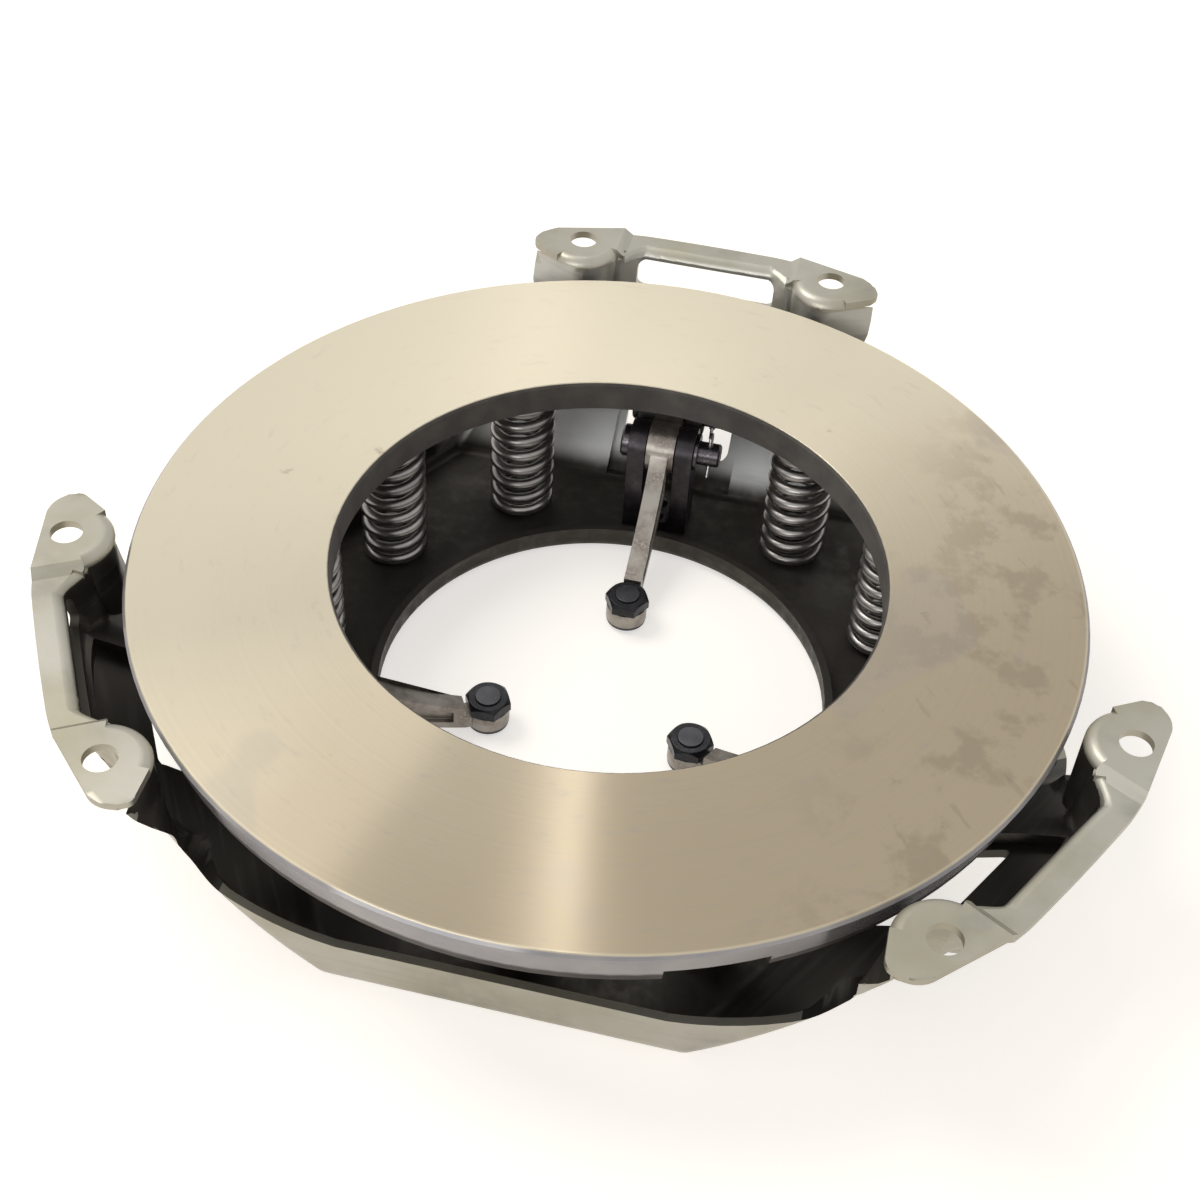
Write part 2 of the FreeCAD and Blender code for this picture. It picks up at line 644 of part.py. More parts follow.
def spring():
    """A compression spring with ground ends, standing on the origin."""
    height = UNDERSIDE_Z - FLOOR_Z - SPRING_TOP_GAP
    path = spring_path(height)
    along = (path[1] - path[0]).normalize()
    outward = Vector(1, 0, 0)
    across = along.cross(outward).normalize()
    outward = across.cross(along)
    # The many-sided wire has the area of the round one
    share = 2 * math.pi / WIRE_FACETS
    radius = SPRING_WIRE / 2 * math.sqrt(share / math.sin(share))
    corners = []
    for number in range(WIRE_FACETS):
        turn = (number + 0.5) * share
        corners.append(path[0] + outward * (radius * math.cos(turn)) + across * (radius * math.sin(turn)))
    section = Part.makePolygon(corners + [corners[0]])
    coil = Part.makePolygon(path).makePipeShell([section], True, False, 1)
    reach = SPRING_MEAN_RADIUS + SPRING_WIRE
    grinder = Part.makeCylinder(reach, height)
    return coil.common(grinder)


# Yokes, pins and rivets

def yoke():
    """The forged yoke that stands on the cover's floor and holds the fulcrum pin."""
    front = FULCRUM_OUT - YOKE_EAR_RADIUS
    back = FULCRUM_OUT + YOKE_EAR_RADIUS
    pin_z = -FULCRUM_DROP
    edges = [
        Part.makeLine(Vector(front, 0, FLOOR_Z), Vector(front, 0, pin_z)),
        arc(Vector(front, 0, pin_z), Vector(FULCRUM_OUT, 0, pin_z + YOKE_EAR_RADIUS),
            Vector(back, 0, pin_z)),
        Part.makeLine(Vector(back, 0, pin_z), Vector(front + YOKE_BASE_LENGTH, 0, FLOOR_Z)),
        Part.makeLine(Vector(front + YOKE_BASE_LENGTH, 0, FLOOR_Z), Vector(front, 0, FLOOR_Z)),
    ]
    block = outline_prism(edges, Vector(0, 2 * YOKE_HALF, 0))
    block.translate(Vector(0, -YOKE_HALF, 0))
    slot = Part.makeBox(4 * YOKE_EAR_RADIUS, YOKE_GAP, COVER_DEPTH,
                        Vector(front - YOKE_EAR_RADIUS, -YOKE_GAP / 2, FLOOR_Z + YOKE_BASE_HEIGHT))
    along = Vector(1, 0, 0)
    foot = FLOOR_Z + YOKE_BASE_HEIGHT
    slot = rounded(slot, YOKE_ROOT_RADIUS,
                   lambda edge: is_along(edge, along) and abs(edge.Vertexes[0].Z - foot) < TOUCH)
    bore = cross_bar(FULCRUM, FULCRUM_PIN / 2 + FIT_GAP, -2 * YOKE_HALF, 2 * YOKE_HALF)
    holes = [rivet(FIT_GAP).translated(place) for place in rivet_places()]
    return block.cut([slot, bore] + holes)


def yoke_rivet():
    """A rivet, its head inside the yoke and its tail flush with the cover's back."""
    grip = FLOOR_Z + YOKE_BASE_HEIGHT
    dome_radius = (RIVET_HEAD ** 2 / 4 + RIVET_HEAD_HEIGHT ** 2) / (2 * RIVET_HEAD_HEIGHT)
    ball = Part.makeSphere(dome_radius, Vector(0, 0, grip + RIVET_HEAD_HEIGHT - dome_radius))
    cap = Part.makeCylinder(RIVET_HEAD, RIVET_HEAD_HEIGHT, Vector(0, 0, grip))
    return fuse_all([rivet(0), ball.common(cap)])


def headed_pin(place, diameter, head, head_height, tail):
    """A pin across a lobe, its head on the positive side and its tail drilled."""
    shank = cross_bar(place, diameter / 2, -YOKE_HALF - tail, YOKE_HALF + head_height / 2)
    cap = cross_bar(place, head / 2, YOKE_HALF, YOKE_HALF + head_height)
    tip = -YOKE_HALF - tail
    shank = shank.makeChamfer(PIN_CHAMFER, [edge for edge in shank.Edges
                                            if all(abs(v.Y - tip) < TOUCH for v in edge.Vertexes)])
    face = YOKE_HALF + head_height
    cap = cap.makeChamfer(PIN_CHAMFER, [edge for edge in cap.Edges
                                        if all(abs(v.Y - face) < TOUCH for v in edge.Vertexes)])
    drilling = Part.makeCylinder(SPLIT_WIRE / 2 + RUN_GAP, 2 * diameter,
                                 Vector(place.x, tip + SPLIT_INSET, place.z - diameter))
    return fuse_all([shank, cap]).cut(drilling)


def split_pin(place, diameter, tail):
    """A split pin through a pin's tail: its eye above, its two legs spread below."""
    side = -YOKE_HALF - tail + SPLIT_INSET
    top = place.z + diameter / 2
    foot = place.z - diameter / 2 - SPLIT_WIRE / 2
    shank = Part.makeCylinder(SPLIT_WIRE / 2, top - foot, Vector(place.x, side, foot))
    eye = Part.makeTorus(SPLIT_EYE, SPLIT_WIRE / 4, Vector(place.x, side, top + SPLIT_EYE),
                         Vector(0, 1, 0))
    pieces = [shank, eye]
    for hand in (-1, 1):
        lean = math.radians(SPLIT_SPREAD) * hand
        direction = Vector(math.sin(lean), 0, -math.cos(lean))
        leg = Part.makeCylinder(SPLIT_WIRE / 4, SPLIT_LEG,
                                Vector(place.x + hand * SPLIT_WIRE / 4, side, foot + SPLIT_WIRE / 4),
                                direction)
        pieces.append(leg)
    return fuse_all(pieces)


def washer():
    """The plain washer between the yoke and the split pin."""
    outer = cross_bar(FULCRUM, WASHER_RADIUS, -YOKE_HALF - WASHER_THICKNESS, -YOKE_HALF)
    return outer.cut(cross_bar(FULCRUM, FULCRUM_PIN / 2 + FIT_GAP, -2 * YOKE_HALF, 0))


# Lever and its tip

def lever_arm():
    """The arched arm from the tip's boss to the hub, as a solid block as wide as its ribs."""
    start_out = TIP_OUT + NUT_CORNER + LEVER_CLEARANCE
    top_start = Vector(start_out, 0, BOSS_TOP + ARM_START_HEIGHT)
    hub_top = FULCRUM + Vector(-1, 0, 1) * (LEVER_HUB_RADIUS * math.sin(math.radians(45)))
    hub_foot = FULCRUM + Vector(0, 0, -LEVER_HUB_RADIUS)
    boss_top = Vector(TIP_OUT + BOSS_RADIUS / 2, 0, BOSS_TOP)
    boss_foot = Vector(TIP_OUT + BOSS_RADIUS / 2, 0, BOSS_FOOT)
    upper = Part.BezierCurve()
    upper.setPoles([top_start, FULCRUM + Vector(-ARM_TOP_BACK, 0, -ARM_TOP_DROP), hub_top])
    lower = Part.BezierCurve()
    lower.setPoles([Vector(start_out, 0, BOSS_FOOT),
                    FULCRUM + Vector(-ARM_FOOT_BACK, 0, -ARM_FOOT_DROP), hub_foot])
    edges = [
        upper.toShape(),
        Part.makeLine(hub_top, FULCRUM),
        Part.makeLine(FULCRUM, hub_foot),
        lower.toShape(),
        Part.makeLine(Vector(start_out, 0, BOSS_FOOT), boss_foot),
        Part.makeLine(boss_foot, boss_top),
        Part.makeLine(boss_top, Vector(start_out, 0, BOSS_TOP)),
        Part.makeLine(Vector(start_out, 0, BOSS_TOP), top_start),
    ]
    arm = outline_prism(edges, Vector(0, LEVER_RIB, 0))
    arm.translate(Vector(0, -LEVER_RIB / 2, 0))
    return arm


def web_pockets(arm):
    """The hollows that leave a thin web between the arm's upper and lower ribs."""
    start_out = TIP_OUT + BOSS_RADIUS + ARM_POCKET_MARGIN
    end_out = FULCRUM_OUT - LEVER_HUB_RADIUS
    span = Part.makeBox(end_out - start_out, LEVER_RIB, COVER_DEPTH, Vector(start_out, LEVER_WEB / 2, BACK_Z))
    lowered = arm.translated(Vector(0, 0, -LEVER_RIB_HEIGHT))
    raised = arm.translated(Vector(0, 0, LEVER_RIB_HEIGHT))
    return mirrored_pair(lowered.common(raised).common(span))


def lever():
    """The forged lever: tip boss, arm, hub and the slotted outer eye."""
    arm = lever_arm()
    hub = cross_bar(FULCRUM, LEVER_HUB_RADIUS, -LEVER_HALF, LEVER_HALF)
    bridge = capsule(FULCRUM, LEVER_EYE_RADIUS, PLATE_PIN_PLACE, LEVER_EYE_RADIUS, LEVER_HALF)
    boss = Part.makeCylinder(BOSS_RADIUS, BOSS_HEIGHT, Vector(TIP_OUT, 0, BOSS_FOOT))
    body = fuse_all([arm.cut(web_pockets(arm)), hub, bridge, boss])
    reach = PLATE_PIN_PLACE - FULCRUM
    along = Vector(reach.x, 0, reach.z).normalize()
    slot_start = FULCRUM + along * (reach.x - LEVER_SLOT_PLAY)
    slot_end = PLATE_PIN_PLACE + along * LEVER_SLOT_PLAY
    slot_radius = PLATE_PIN / 2 + RUN_GAP
    slot = capsule(slot_start, slot_radius, slot_end, slot_radius, 2 * LEVER_HALF)
    bush_bore = cross_bar(FULCRUM, BUSH_RADIUS + FIT_GAP, -2 * LEVER_HALF, 2 * LEVER_HALF)
    tapping = Part.makeCylinder(SCREW_SHANK / 2 + FIT_GAP, 3 * BOSS_HEIGHT,
                                Vector(TIP_OUT, 0, BOSS_FOOT - BOSS_HEIGHT))
    return body.cut([slot, bush_bore, tapping])


def lever_bush():
    """The bush in the lever's hub, that turns on the fulcrum pin."""
    outer = cross_bar(FULCRUM, BUSH_RADIUS, -LEVER_HALF, LEVER_HALF)
    return outer.cut(cross_bar(FULCRUM, FULCRUM_PIN / 2 + RUN_GAP, -2 * LEVER_HALF, 2 * LEVER_HALF))


def adjusting_screw():
    """The screw at the lever's tip, its domed head towards the release bearing."""
    shank_top = BOSS_TOP + NUT_HEIGHT + SCREW_STAND
    head = Part.makeCylinder(SCREW_HEAD_RADIUS, SCREW_HEAD_HEIGHT,
                             Vector(TIP_OUT, 0, BOSS_FOOT - SCREW_HEAD_HEIGHT))
    dome_radius = (SCREW_HEAD_RADIUS ** 2 + SCREW_DOME ** 2) / (2 * SCREW_DOME)
    ball = Part.makeSphere(dome_radius,
                           Vector(TIP_OUT, 0, BOSS_FOOT - SCREW_HEAD_HEIGHT + dome_radius))
    shank = Part.makeCylinder(SCREW_SHANK / 2, shank_top - BOSS_FOOT + SCREW_HEAD_HEIGHT / 2,
                              Vector(TIP_OUT, 0, BOSS_FOOT - SCREW_HEAD_HEIGHT / 2))
    return fuse_all([head.common(ball), shank])


def lock_nut():
    """The thin hexagon nut that locks the adjusting screw."""
    points = [Vector(TIP_OUT, 0, BOSS_TOP) + polar(NUT_CORNER, 60 * number + 30) for number in range(6)]
    block = prism(points, Vector(0, 0, NUT_HEIGHT))
    trim = Part.makeCone(NUT_FLATS / 2 + NUT_HEIGHT - NUT_CHAMFER / 2, NUT_FLATS / 2 - NUT_CHAMFER / 2,
                         NUT_HEIGHT, Vector(TIP_OUT, 0, BOSS_TOP))
    hole = Part.makeCylinder(SCREW_SHANK / 2 + FIT_GAP, 3 * NUT_HEIGHT,
                             Vector(TIP_OUT, 0, BOSS_TOP - NUT_HEIGHT))
    return block.common(trim).cut(hole)


# Output

def save(name, shape):
    """Write one node, and say what it is."""
    shape.exportStep(os.path.join("parts", name + ".step"))
    box = shape.BoundBox
    print(name, len(shape.Solids), "solids", len(shape.Faces), "faces", shape.isValid(),
          round(shape.Volume), "mm3, z", round(box.ZMin, 2), round(box.ZMax, 2))


def save_at_lobes(name, shape):
    """Write a piece once for each lobe, numbered."""
    for number, copy in enumerate(at_lobes(shape), 1):
        save(name + "_" + str(number), copy)


def main():
    """Build every piece of the assembly."""
    os.makedirs("parts", exist_ok=True)
    save("clutch_cover", cover())
    save("pressure_plate", pressure_plate())
    coil = spring()
    for number, angle in enumerate(spring_places(), 1):
        save("spring_" + str(number), turned(coil, angle).translated(polar(SPRING_CIRCLE, angle, FLOOR_Z)))
    save_at_lobes("lever_yoke", yoke())
    rivets = [yoke_rivet().translated(place) for place in rivet_places()]
    save("yoke_rivets", Part.Compound([each for piece in rivets for each in at_lobes(piece)]))
    save_at_lobes("fulcrum_pin", headed_pin(FULCRUM, FULCRUM_PIN, FULCRUM_HEAD, FULCRUM_HEAD_HEIGHT,
                                            FULCRUM_TAIL))
    save("fulcrum_washers", Part.Compound(at_lobes(washer())))
    save("fulcrum_split_pins", Part.Compound(at_lobes(split_pin(FULCRUM, FULCRUM_PIN, FULCRUM_TAIL))))
    save_at_lobes("release_lever", lever())
    save_at_lobes("lever_bush", lever_bush())
    save_at_lobes("adjusting_screw", adjusting_screw())
    save_at_lobes("lock_nut", lock_nut())
    save_at_lobes("plate_pin", headed_pin(PLATE_PIN_PLACE, PLATE_PIN, PLATE_PIN_HEAD,
                                          PLATE_PIN_HEAD_HEIGHT, PLATE_PIN_TAIL))
    save("plate_split_pins", Part.Compound(at_lobes(split_pin(PLATE_PIN_PLACE, PLATE_PIN, PLATE_PIN_TAIL))))


main()
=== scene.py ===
"""Looks of the clutch pressure plate: finishes, drawn sheet, springs, floor, light and camera."""
import json
import logging
import math
from dataclasses import dataclass, field
from enum import Enum
from typing import Any

import bmesh
import bpy
from mathutils import Matrix, Vector
from mathutils.bvhtree import BVHTree

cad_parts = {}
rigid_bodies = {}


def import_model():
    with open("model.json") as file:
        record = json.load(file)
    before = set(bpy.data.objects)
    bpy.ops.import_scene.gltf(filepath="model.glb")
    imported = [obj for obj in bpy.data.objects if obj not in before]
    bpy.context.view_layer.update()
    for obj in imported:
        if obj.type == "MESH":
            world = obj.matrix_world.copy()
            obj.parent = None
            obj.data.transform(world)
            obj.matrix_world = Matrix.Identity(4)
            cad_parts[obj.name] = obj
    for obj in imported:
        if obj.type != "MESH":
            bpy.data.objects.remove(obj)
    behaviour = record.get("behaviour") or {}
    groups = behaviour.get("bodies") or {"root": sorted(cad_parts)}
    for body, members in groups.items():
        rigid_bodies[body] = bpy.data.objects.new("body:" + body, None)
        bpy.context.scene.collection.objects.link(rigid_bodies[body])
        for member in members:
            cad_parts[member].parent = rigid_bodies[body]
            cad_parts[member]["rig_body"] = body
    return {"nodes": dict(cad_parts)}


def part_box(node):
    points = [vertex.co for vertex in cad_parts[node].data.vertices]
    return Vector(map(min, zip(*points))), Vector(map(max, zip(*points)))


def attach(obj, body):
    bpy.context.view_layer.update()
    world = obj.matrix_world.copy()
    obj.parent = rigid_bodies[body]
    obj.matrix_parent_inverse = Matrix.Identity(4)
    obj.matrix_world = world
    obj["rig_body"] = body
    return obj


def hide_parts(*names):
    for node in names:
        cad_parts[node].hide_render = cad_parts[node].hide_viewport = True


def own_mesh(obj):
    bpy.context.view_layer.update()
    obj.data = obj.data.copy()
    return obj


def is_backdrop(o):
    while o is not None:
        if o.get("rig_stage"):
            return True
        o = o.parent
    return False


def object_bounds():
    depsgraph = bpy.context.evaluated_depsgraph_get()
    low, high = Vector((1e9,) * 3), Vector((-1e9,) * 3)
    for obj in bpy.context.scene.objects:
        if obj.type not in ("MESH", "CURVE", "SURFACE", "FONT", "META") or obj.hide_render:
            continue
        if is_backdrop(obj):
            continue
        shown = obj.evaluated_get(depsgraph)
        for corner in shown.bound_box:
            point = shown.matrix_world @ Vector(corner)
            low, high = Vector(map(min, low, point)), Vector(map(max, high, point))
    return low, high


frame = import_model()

LOG = logging.getLogger("pressure_plate")
Colour = tuple[float, float, float]
Place = tuple[float, float, float]
Span = tuple[float, float]
WELD_DISTANCE = 3e-6
FLAT_DEGREES = 0.4
INSIDE_MARKS = "inside"
LEVER_NUMBERS = (1, 2, 3)


def turned(degrees: float) -> Matrix:
    """A turn about the clutch's axis."""
    return Matrix.Rotation(math.radians(degrees), 3, "Z")


class Value:
    """A socket's output that can be used in ordinary arithmetic."""

    def __init__(self, graph: "Graph", socket: bpy.types.NodeSocket) -> None:
        """Keep the socket and the graph that it belongs to."""
        self.graph = graph
        self.socket = socket

    def __add__(self, other: Any) -> "Value":
        """This value plus another."""
        return self.graph.maths("ADD", self, other)

    __radd__ = __add__

    def __sub__(self, other: Any) -> "Value":
        """This value less another."""
        return self.graph.maths("SUBTRACT", self, other)

    def __rsub__(self, other: Any) -> "Value":
        """A number less this value."""
        return self.graph.maths("SUBTRACT", other, self)

    def __mul__(self, other: Any) -> "Value":
        """This value times another."""
        return self.graph.maths("MULTIPLY", self, other)

    __rmul__ = __mul__

    def __truediv__(self, other: Any) -> "Value":
        """This value over another."""
        return self.graph.maths("DIVIDE", self, other)

    def __rtruediv__(self, other: Any) -> "Value":
        """A number over this value."""
        return self.graph.maths("DIVIDE", other, self)

    def __pow__(self, other: Any) -> "Value":
        """This value to a power."""
        return self.graph.maths("POWER", self, other)

    def least(self, other: Any) -> "Value":
        """The smaller of this value and another."""
        return self.graph.maths("MINIMUM", self, other)

    def most(self, other: Any) -> "Value":
        """The larger of this value and another."""
        return self.graph.maths("MAXIMUM", self, other)

    def cosine(self) -> "Value":
        """The cosine of this angle."""
        return self.graph.maths("COSINE", self, 0.0)

    def sine(self) -> "Value":
        """The sine of this angle."""
        return self.graph.maths("SINE", self, 0.0)

    def ramp(self, low: float, high: float) -> "Value":
        """A smooth rise from 0 at low to 1 at high, or a fall where low is the larger."""
        settings = {"interpolation_type": "SMOOTHSTEP"}
        inputs = {"Value": self, "From Min": low, "From Max": high}
        return Value(self.graph, self.graph.node("ShaderNodeMapRange", settings, inputs).outputs[0])


class Graph:
    """A node tree that is written as expressions."""

    def __init__(self, tree: bpy.types.NodeTree) -> None:
        """Empty the tree and keep it.

        Args:
            tree: A shader or geometry tree.
        """
        self.tree = tree
        tree.nodes.clear()

    def feed(self, socket: bpy.types.NodeSocket, value: Any) -> None:
        """Link a value into a socket, or set it there.

        Args:
            socket: The input that takes it.
            value: A Value, a socket or plain numbers.
        """
        if isinstance(value, Value):
            self.tree.links.new(value.socket, socket)
        elif isinstance(value, bpy.types.NodeSocket):
            self.tree.links.new(value, socket)
        else:
            socket.default_value = value

    def node(self, kind: str, settings: dict[str, Any] | None = None,
             inputs: dict[Any, Any] | None = None) -> bpy.types.Node:
        """Add any node.

        Args:
            kind: Its type.
            settings: Its own properties, set first.
            inputs: Values or links by socket name or number.

        Returns:
            The new node.
        """
        node = self.tree.nodes.new(kind)
        for name, value in (settings or {}).items():
            setattr(node, name, value)
        for key, value in (inputs or {}).items():
            self.feed(node.inputs[key], value)
        return node

    def maths(self, operation: str, first: Any, second: Any) -> Value:
        """Add a Math node and return its result."""
        node = self.node("ShaderNodeMath", {"operation": operation}, {0: first, 1: second})
        return Value(self, node.outputs[0])


class Paint(Graph):
    """A material under construction, with the patterns that the finishes share."""

    def __init__(self, name: str) -> None:
        """Start a material with one principled surface."""
        self.material = bpy.data.materials.new(name)
        self.material.use_nodes = True
        super().__init__(self.material.node_tree)
        self.surface = self.node("ShaderNodeBsdfPrincipled")
        output = self.node("ShaderNodeOutputMaterial")
        self.tree.links.new(self.surface.outputs[0], output.inputs[0])
        self.place = self.node("ShaderNodeTexCoord").outputs["Object"]
        parts = self.node("ShaderNodeSeparateXYZ", None, {0: self.place})
        self.x = Value(self, parts.outputs[0])
        self.y = Value(self, parts.outputs[1])
        self.z = Value(self, parts.outputs[2])

    def radius(self) -> Value:
        """The distance from the clutch's axis."""
        return (self.x * self.x + self.y * self.y) ** 0.5

    def angle(self) -> Value:
        """The angle about the clutch's axis, in radians."""
        return self.maths("ARCTAN2", self.y, self.x)

    def noise(self, scale: float, detail: float = 4.0, roughness: float = 0.55,
              place: Any = None) -> Value:
        """A cloudy pattern from 0 to 1.

        Args:
            scale: Clouds in a metre.
            detail: Octaves.
            roughness: The share of each finer octave.
            place: Where to read it, if not at the object's own place.

        Returns:
            The pattern.
        """
        inputs = {"Vector": place or self.place, "Scale": scale, "Detail": detail,
                  "Roughness": roughness}
        return Value(self, self.node("ShaderNodeTexNoise", None, inputs).outputs[0])

    def line_noise(self, along: Value, scale: float, detail: float = 3.0) -> Value:
        """A pattern that varies along one value alone."""
        inputs = {"W": along, "Scale": scale, "Detail": detail}
        node = self.node("ShaderNodeTexNoise", {"noise_dimensions": "1D"}, inputs)
        return Value(self, node.outputs[0])

    def stretched(self, x: Any, y: Any, z: Any) -> bpy.types.NodeSocket:
        """A place made of three values."""
        return self.node("ShaderNodeCombineXYZ", None, {0: x, 1: y, 2: z}).outputs[0]

    def mix(self, share: Any, first: Any, second: Any) -> bpy.types.NodeSocket:
        """A colour between two.

        Args:
            share: 0 for the first and 1 for the second.
            first: A colour or a link.
            second: A colour or a link.

        Returns:
            The mixed colour.
        """
        # Inputs 6 and 7 and output 2 are the colours of a Mix node.
        pair = [(*each, 1.0) if isinstance(each, tuple) else each for each in (first, second)]
        node = self.node("ShaderNodeMix", {"data_type": "RGBA"}, {0: share, 6: pair[0], 7: pair[1]})
        return node.outputs[2]

    def bump(self, height: Value, distance: float, strength: float = 1.0) -> None:
        """Raise the surface by a pattern.

        Args:
            height: The pattern.
            distance: What a height of 1 stands for, in metres.
            strength: The share of it that shows.
        """
        node = self.node("ShaderNodeBump", None,
                         {"Height": height, "Distance": distance, "Strength": strength})
        self.feed(self.surface.inputs["Normal"], node.outputs[0])

    def set(self, **inputs: Any) -> None:
        """Feed the surface's sockets, named with underscores for spaces."""
        for name, value in inputs.items():
            colour = (*value, 1.0) if isinstance(value, tuple) and len(value) == 3 else value
            self.feed(self.surface.inputs[name.replace("_", " ")], colour)


@dataclass(frozen=True)
class TurnedIron:
    """The cast ring: a turned cream-grey face, a bright rim and dark cast sides.

    The face goes from cream to tan across the ring as painted light: lit on the -X and +Y side and falling
    off towards +X and -Y.
    """

    # The cream of the painted light on the face, and the tan where that painted light falls off.
    light: Colour = (0.78, 0.70, 0.53)
    tan: Colour = (0.43, 0.35, 0.235)
    stain: Colour = (0.25, 0.20, 0.14)
    grey: Colour = (0.36, 0.33, 0.29)
    rim: Colour = (0.35, 0.33, 0.325)
    rim_dull: Colour = (0.26, 0.25, 0.26)
    cast: Colour = (0.060, 0.052, 0.047)
    cast_pale: Colour = (0.11, 0.095, 0.08)
    grooves_per_metre: float = 900.0
    face_blend: Span = (-0.0004, -0.0001)
    band_blend: Span = (-0.0006, -0.0002)
    bore_edge: Span = (0.0012, 0.0004)
    rim_edge: Span = (0.0006, 0.0016)
    # The slope and the ends of the painted light's falloff across the face.
    light_falloff: float = 0.62
    light_falloff_ends: Span = (-0.10, 0.115)
    stain_ends: Span = (0.055, 0.105)
    face_roughness: float = 0.21
    cast_roughness: float = 0.62
    cast_metal: float = 0.2
    turned_metal: float = 0.25
    groove_turn: float = 0.25
    pit_depth: float = 0.00003
    pits_per_metre: float = 1300.0

    def build(self, face_z: float, bore: float, rim: float) -> bpy.types.Material:
        """Make the material.

        Args:
            face_z: The height of the friction face.
            bore: The ring's inner radius.
            rim: The radius where the outer band starts.

        Returns:
            The material.
        """
        paint = Paint("turned_iron")
        radius = paint.radius()
        face = paint.z.ramp(*(face_z + each for each in self.face_blend))
        band = radius.ramp(*(rim + each for each in self.band_blend))
        machined = face.most(band)
        painted_light_and_tone = self.painted_light_and_tone(paint)
        right = (paint.x * 0.9 - paint.y * 0.1).ramp(*self.stain_ends)
        smear = paint.stretched(radius * 260.0, paint.angle() * 9.0, 0.0)
        worn = paint.noise(1.0, 5.0, 0.6, smear).ramp(0.57, 0.74) * (0.25 + painted_light_and_tone * 0.6)
        spots = paint.noise(34.0, 6.0, 0.64).ramp(0.515, 0.60) * right
        colour = self.grooved(paint, radius, painted_light_and_tone)
        colour = paint.mix(worn * 0.5, colour, self.grey)
        colour = paint.mix(spots * 0.42, colour, self.stain)
        colour = self.marked(paint, colour, painted_light_and_tone, right)
        edge = (radius - bore).ramp(*self.bore_edge).most((radius - rim).ramp(*self.rim_edge))
        colour = paint.mix(edge * 0.5, colour, self.light)
        colour = paint.mix(face, self.sides(paint, band), colour)
        rough = self.face_roughness + painted_light_and_tone * 0.02 + worn * 0.02 + spots * 0.03
        paint.set(Base_Color=colour, Metallic=self.cast_metal + machined * self.turned_metal,
                  Roughness=rough * machined + (1.0 - machined) * self.cast_roughness,
                  Anisotropic=1.0, Anisotropic_Rotation=self.groove_turn)
        casting = paint.noise(self.pits_per_metre, 3.0) * (1.0 - machined) * 4.0
        paint.bump(casting, self.pit_depth)
        return paint.material

    def painted_light_and_tone(self, paint: Paint) -> Value:
        """How far the face has gone from painted light to tan at a place, with random cloudy variation."""
        # Painted light: cream towards -X and +Y, falling off to tan towards +X and -Y; the clouds add
        # random variation.
        corner = (paint.x * self.light_falloff - paint.y * self.light_falloff).ramp(*self.light_falloff_ends)
        clouds = paint.noise(11.0, 5.0)
        return (corner * 0.95 + (clouds - 0.5) * 0.35).ramp(0.0, 1.0)

    def grooved(self, paint: Paint, radius: Value, painted_light_and_tone: Value) -> bpy.types.NodeSocket:
        """The face's colour with the fine rings that the lathe left."""
        colour = paint.mix(painted_light_and_tone, self.light, self.tan)
        rings = paint.line_noise(radius, self.grooves_per_metre)
        return paint.mix((rings - 0.5) * 0.5 * painted_light_and_tone + 0.06, colour, self.grey)

    def marked(self, paint: Paint, colour: bpy.types.NodeSocket, painted_light_and_tone: Value,
               right: Value) -> bpy.types.NodeSocket:
        """Add patches, flecks and scratches to the face.

        Args:
            paint: The material.
            colour: The face's colour so far.
            painted_light_and_tone: How far it has gone from light to tan.
            right: 1 on the stained side.

        Returns:
            The marked colour.
        """
        patches = paint.noise(17.0, 2.0, 0.4).ramp(0.57, 0.60) * painted_light_and_tone.ramp(0.15, 0.7)
        colour = paint.mix(patches * 0.25, colour, self.grey)
        flecks = paint.noise(60.0, 5.0, 0.6).ramp(0.70, 0.76)
        colour = paint.mix(flecks * 0.5, colour, self.stain)
        slash = paint.stretched(paint.x * 60.0 + paint.y * 44.0, paint.x * 9.0 - paint.y * 13.0, 0.0)
        scratches = paint.noise(3.4, 3.0, 0.5, slash).ramp(0.66, 0.72) * right
        return paint.mix(scratches * 0.3, colour, self.stain)

    def sides(self, paint: Paint, band: Value) -> bpy.types.NodeSocket:
        """The colour below the face: bright on the outer band and dark on the casting."""
        casting = paint.mix(paint.noise(90.0).ramp(0.3, 0.8), self.cast, self.cast_pale)
        bright = paint.mix(paint.noise(40.0).ramp(0.35, 0.7), self.rim, self.rim_dull)
        return paint.mix(band, casting, bright)


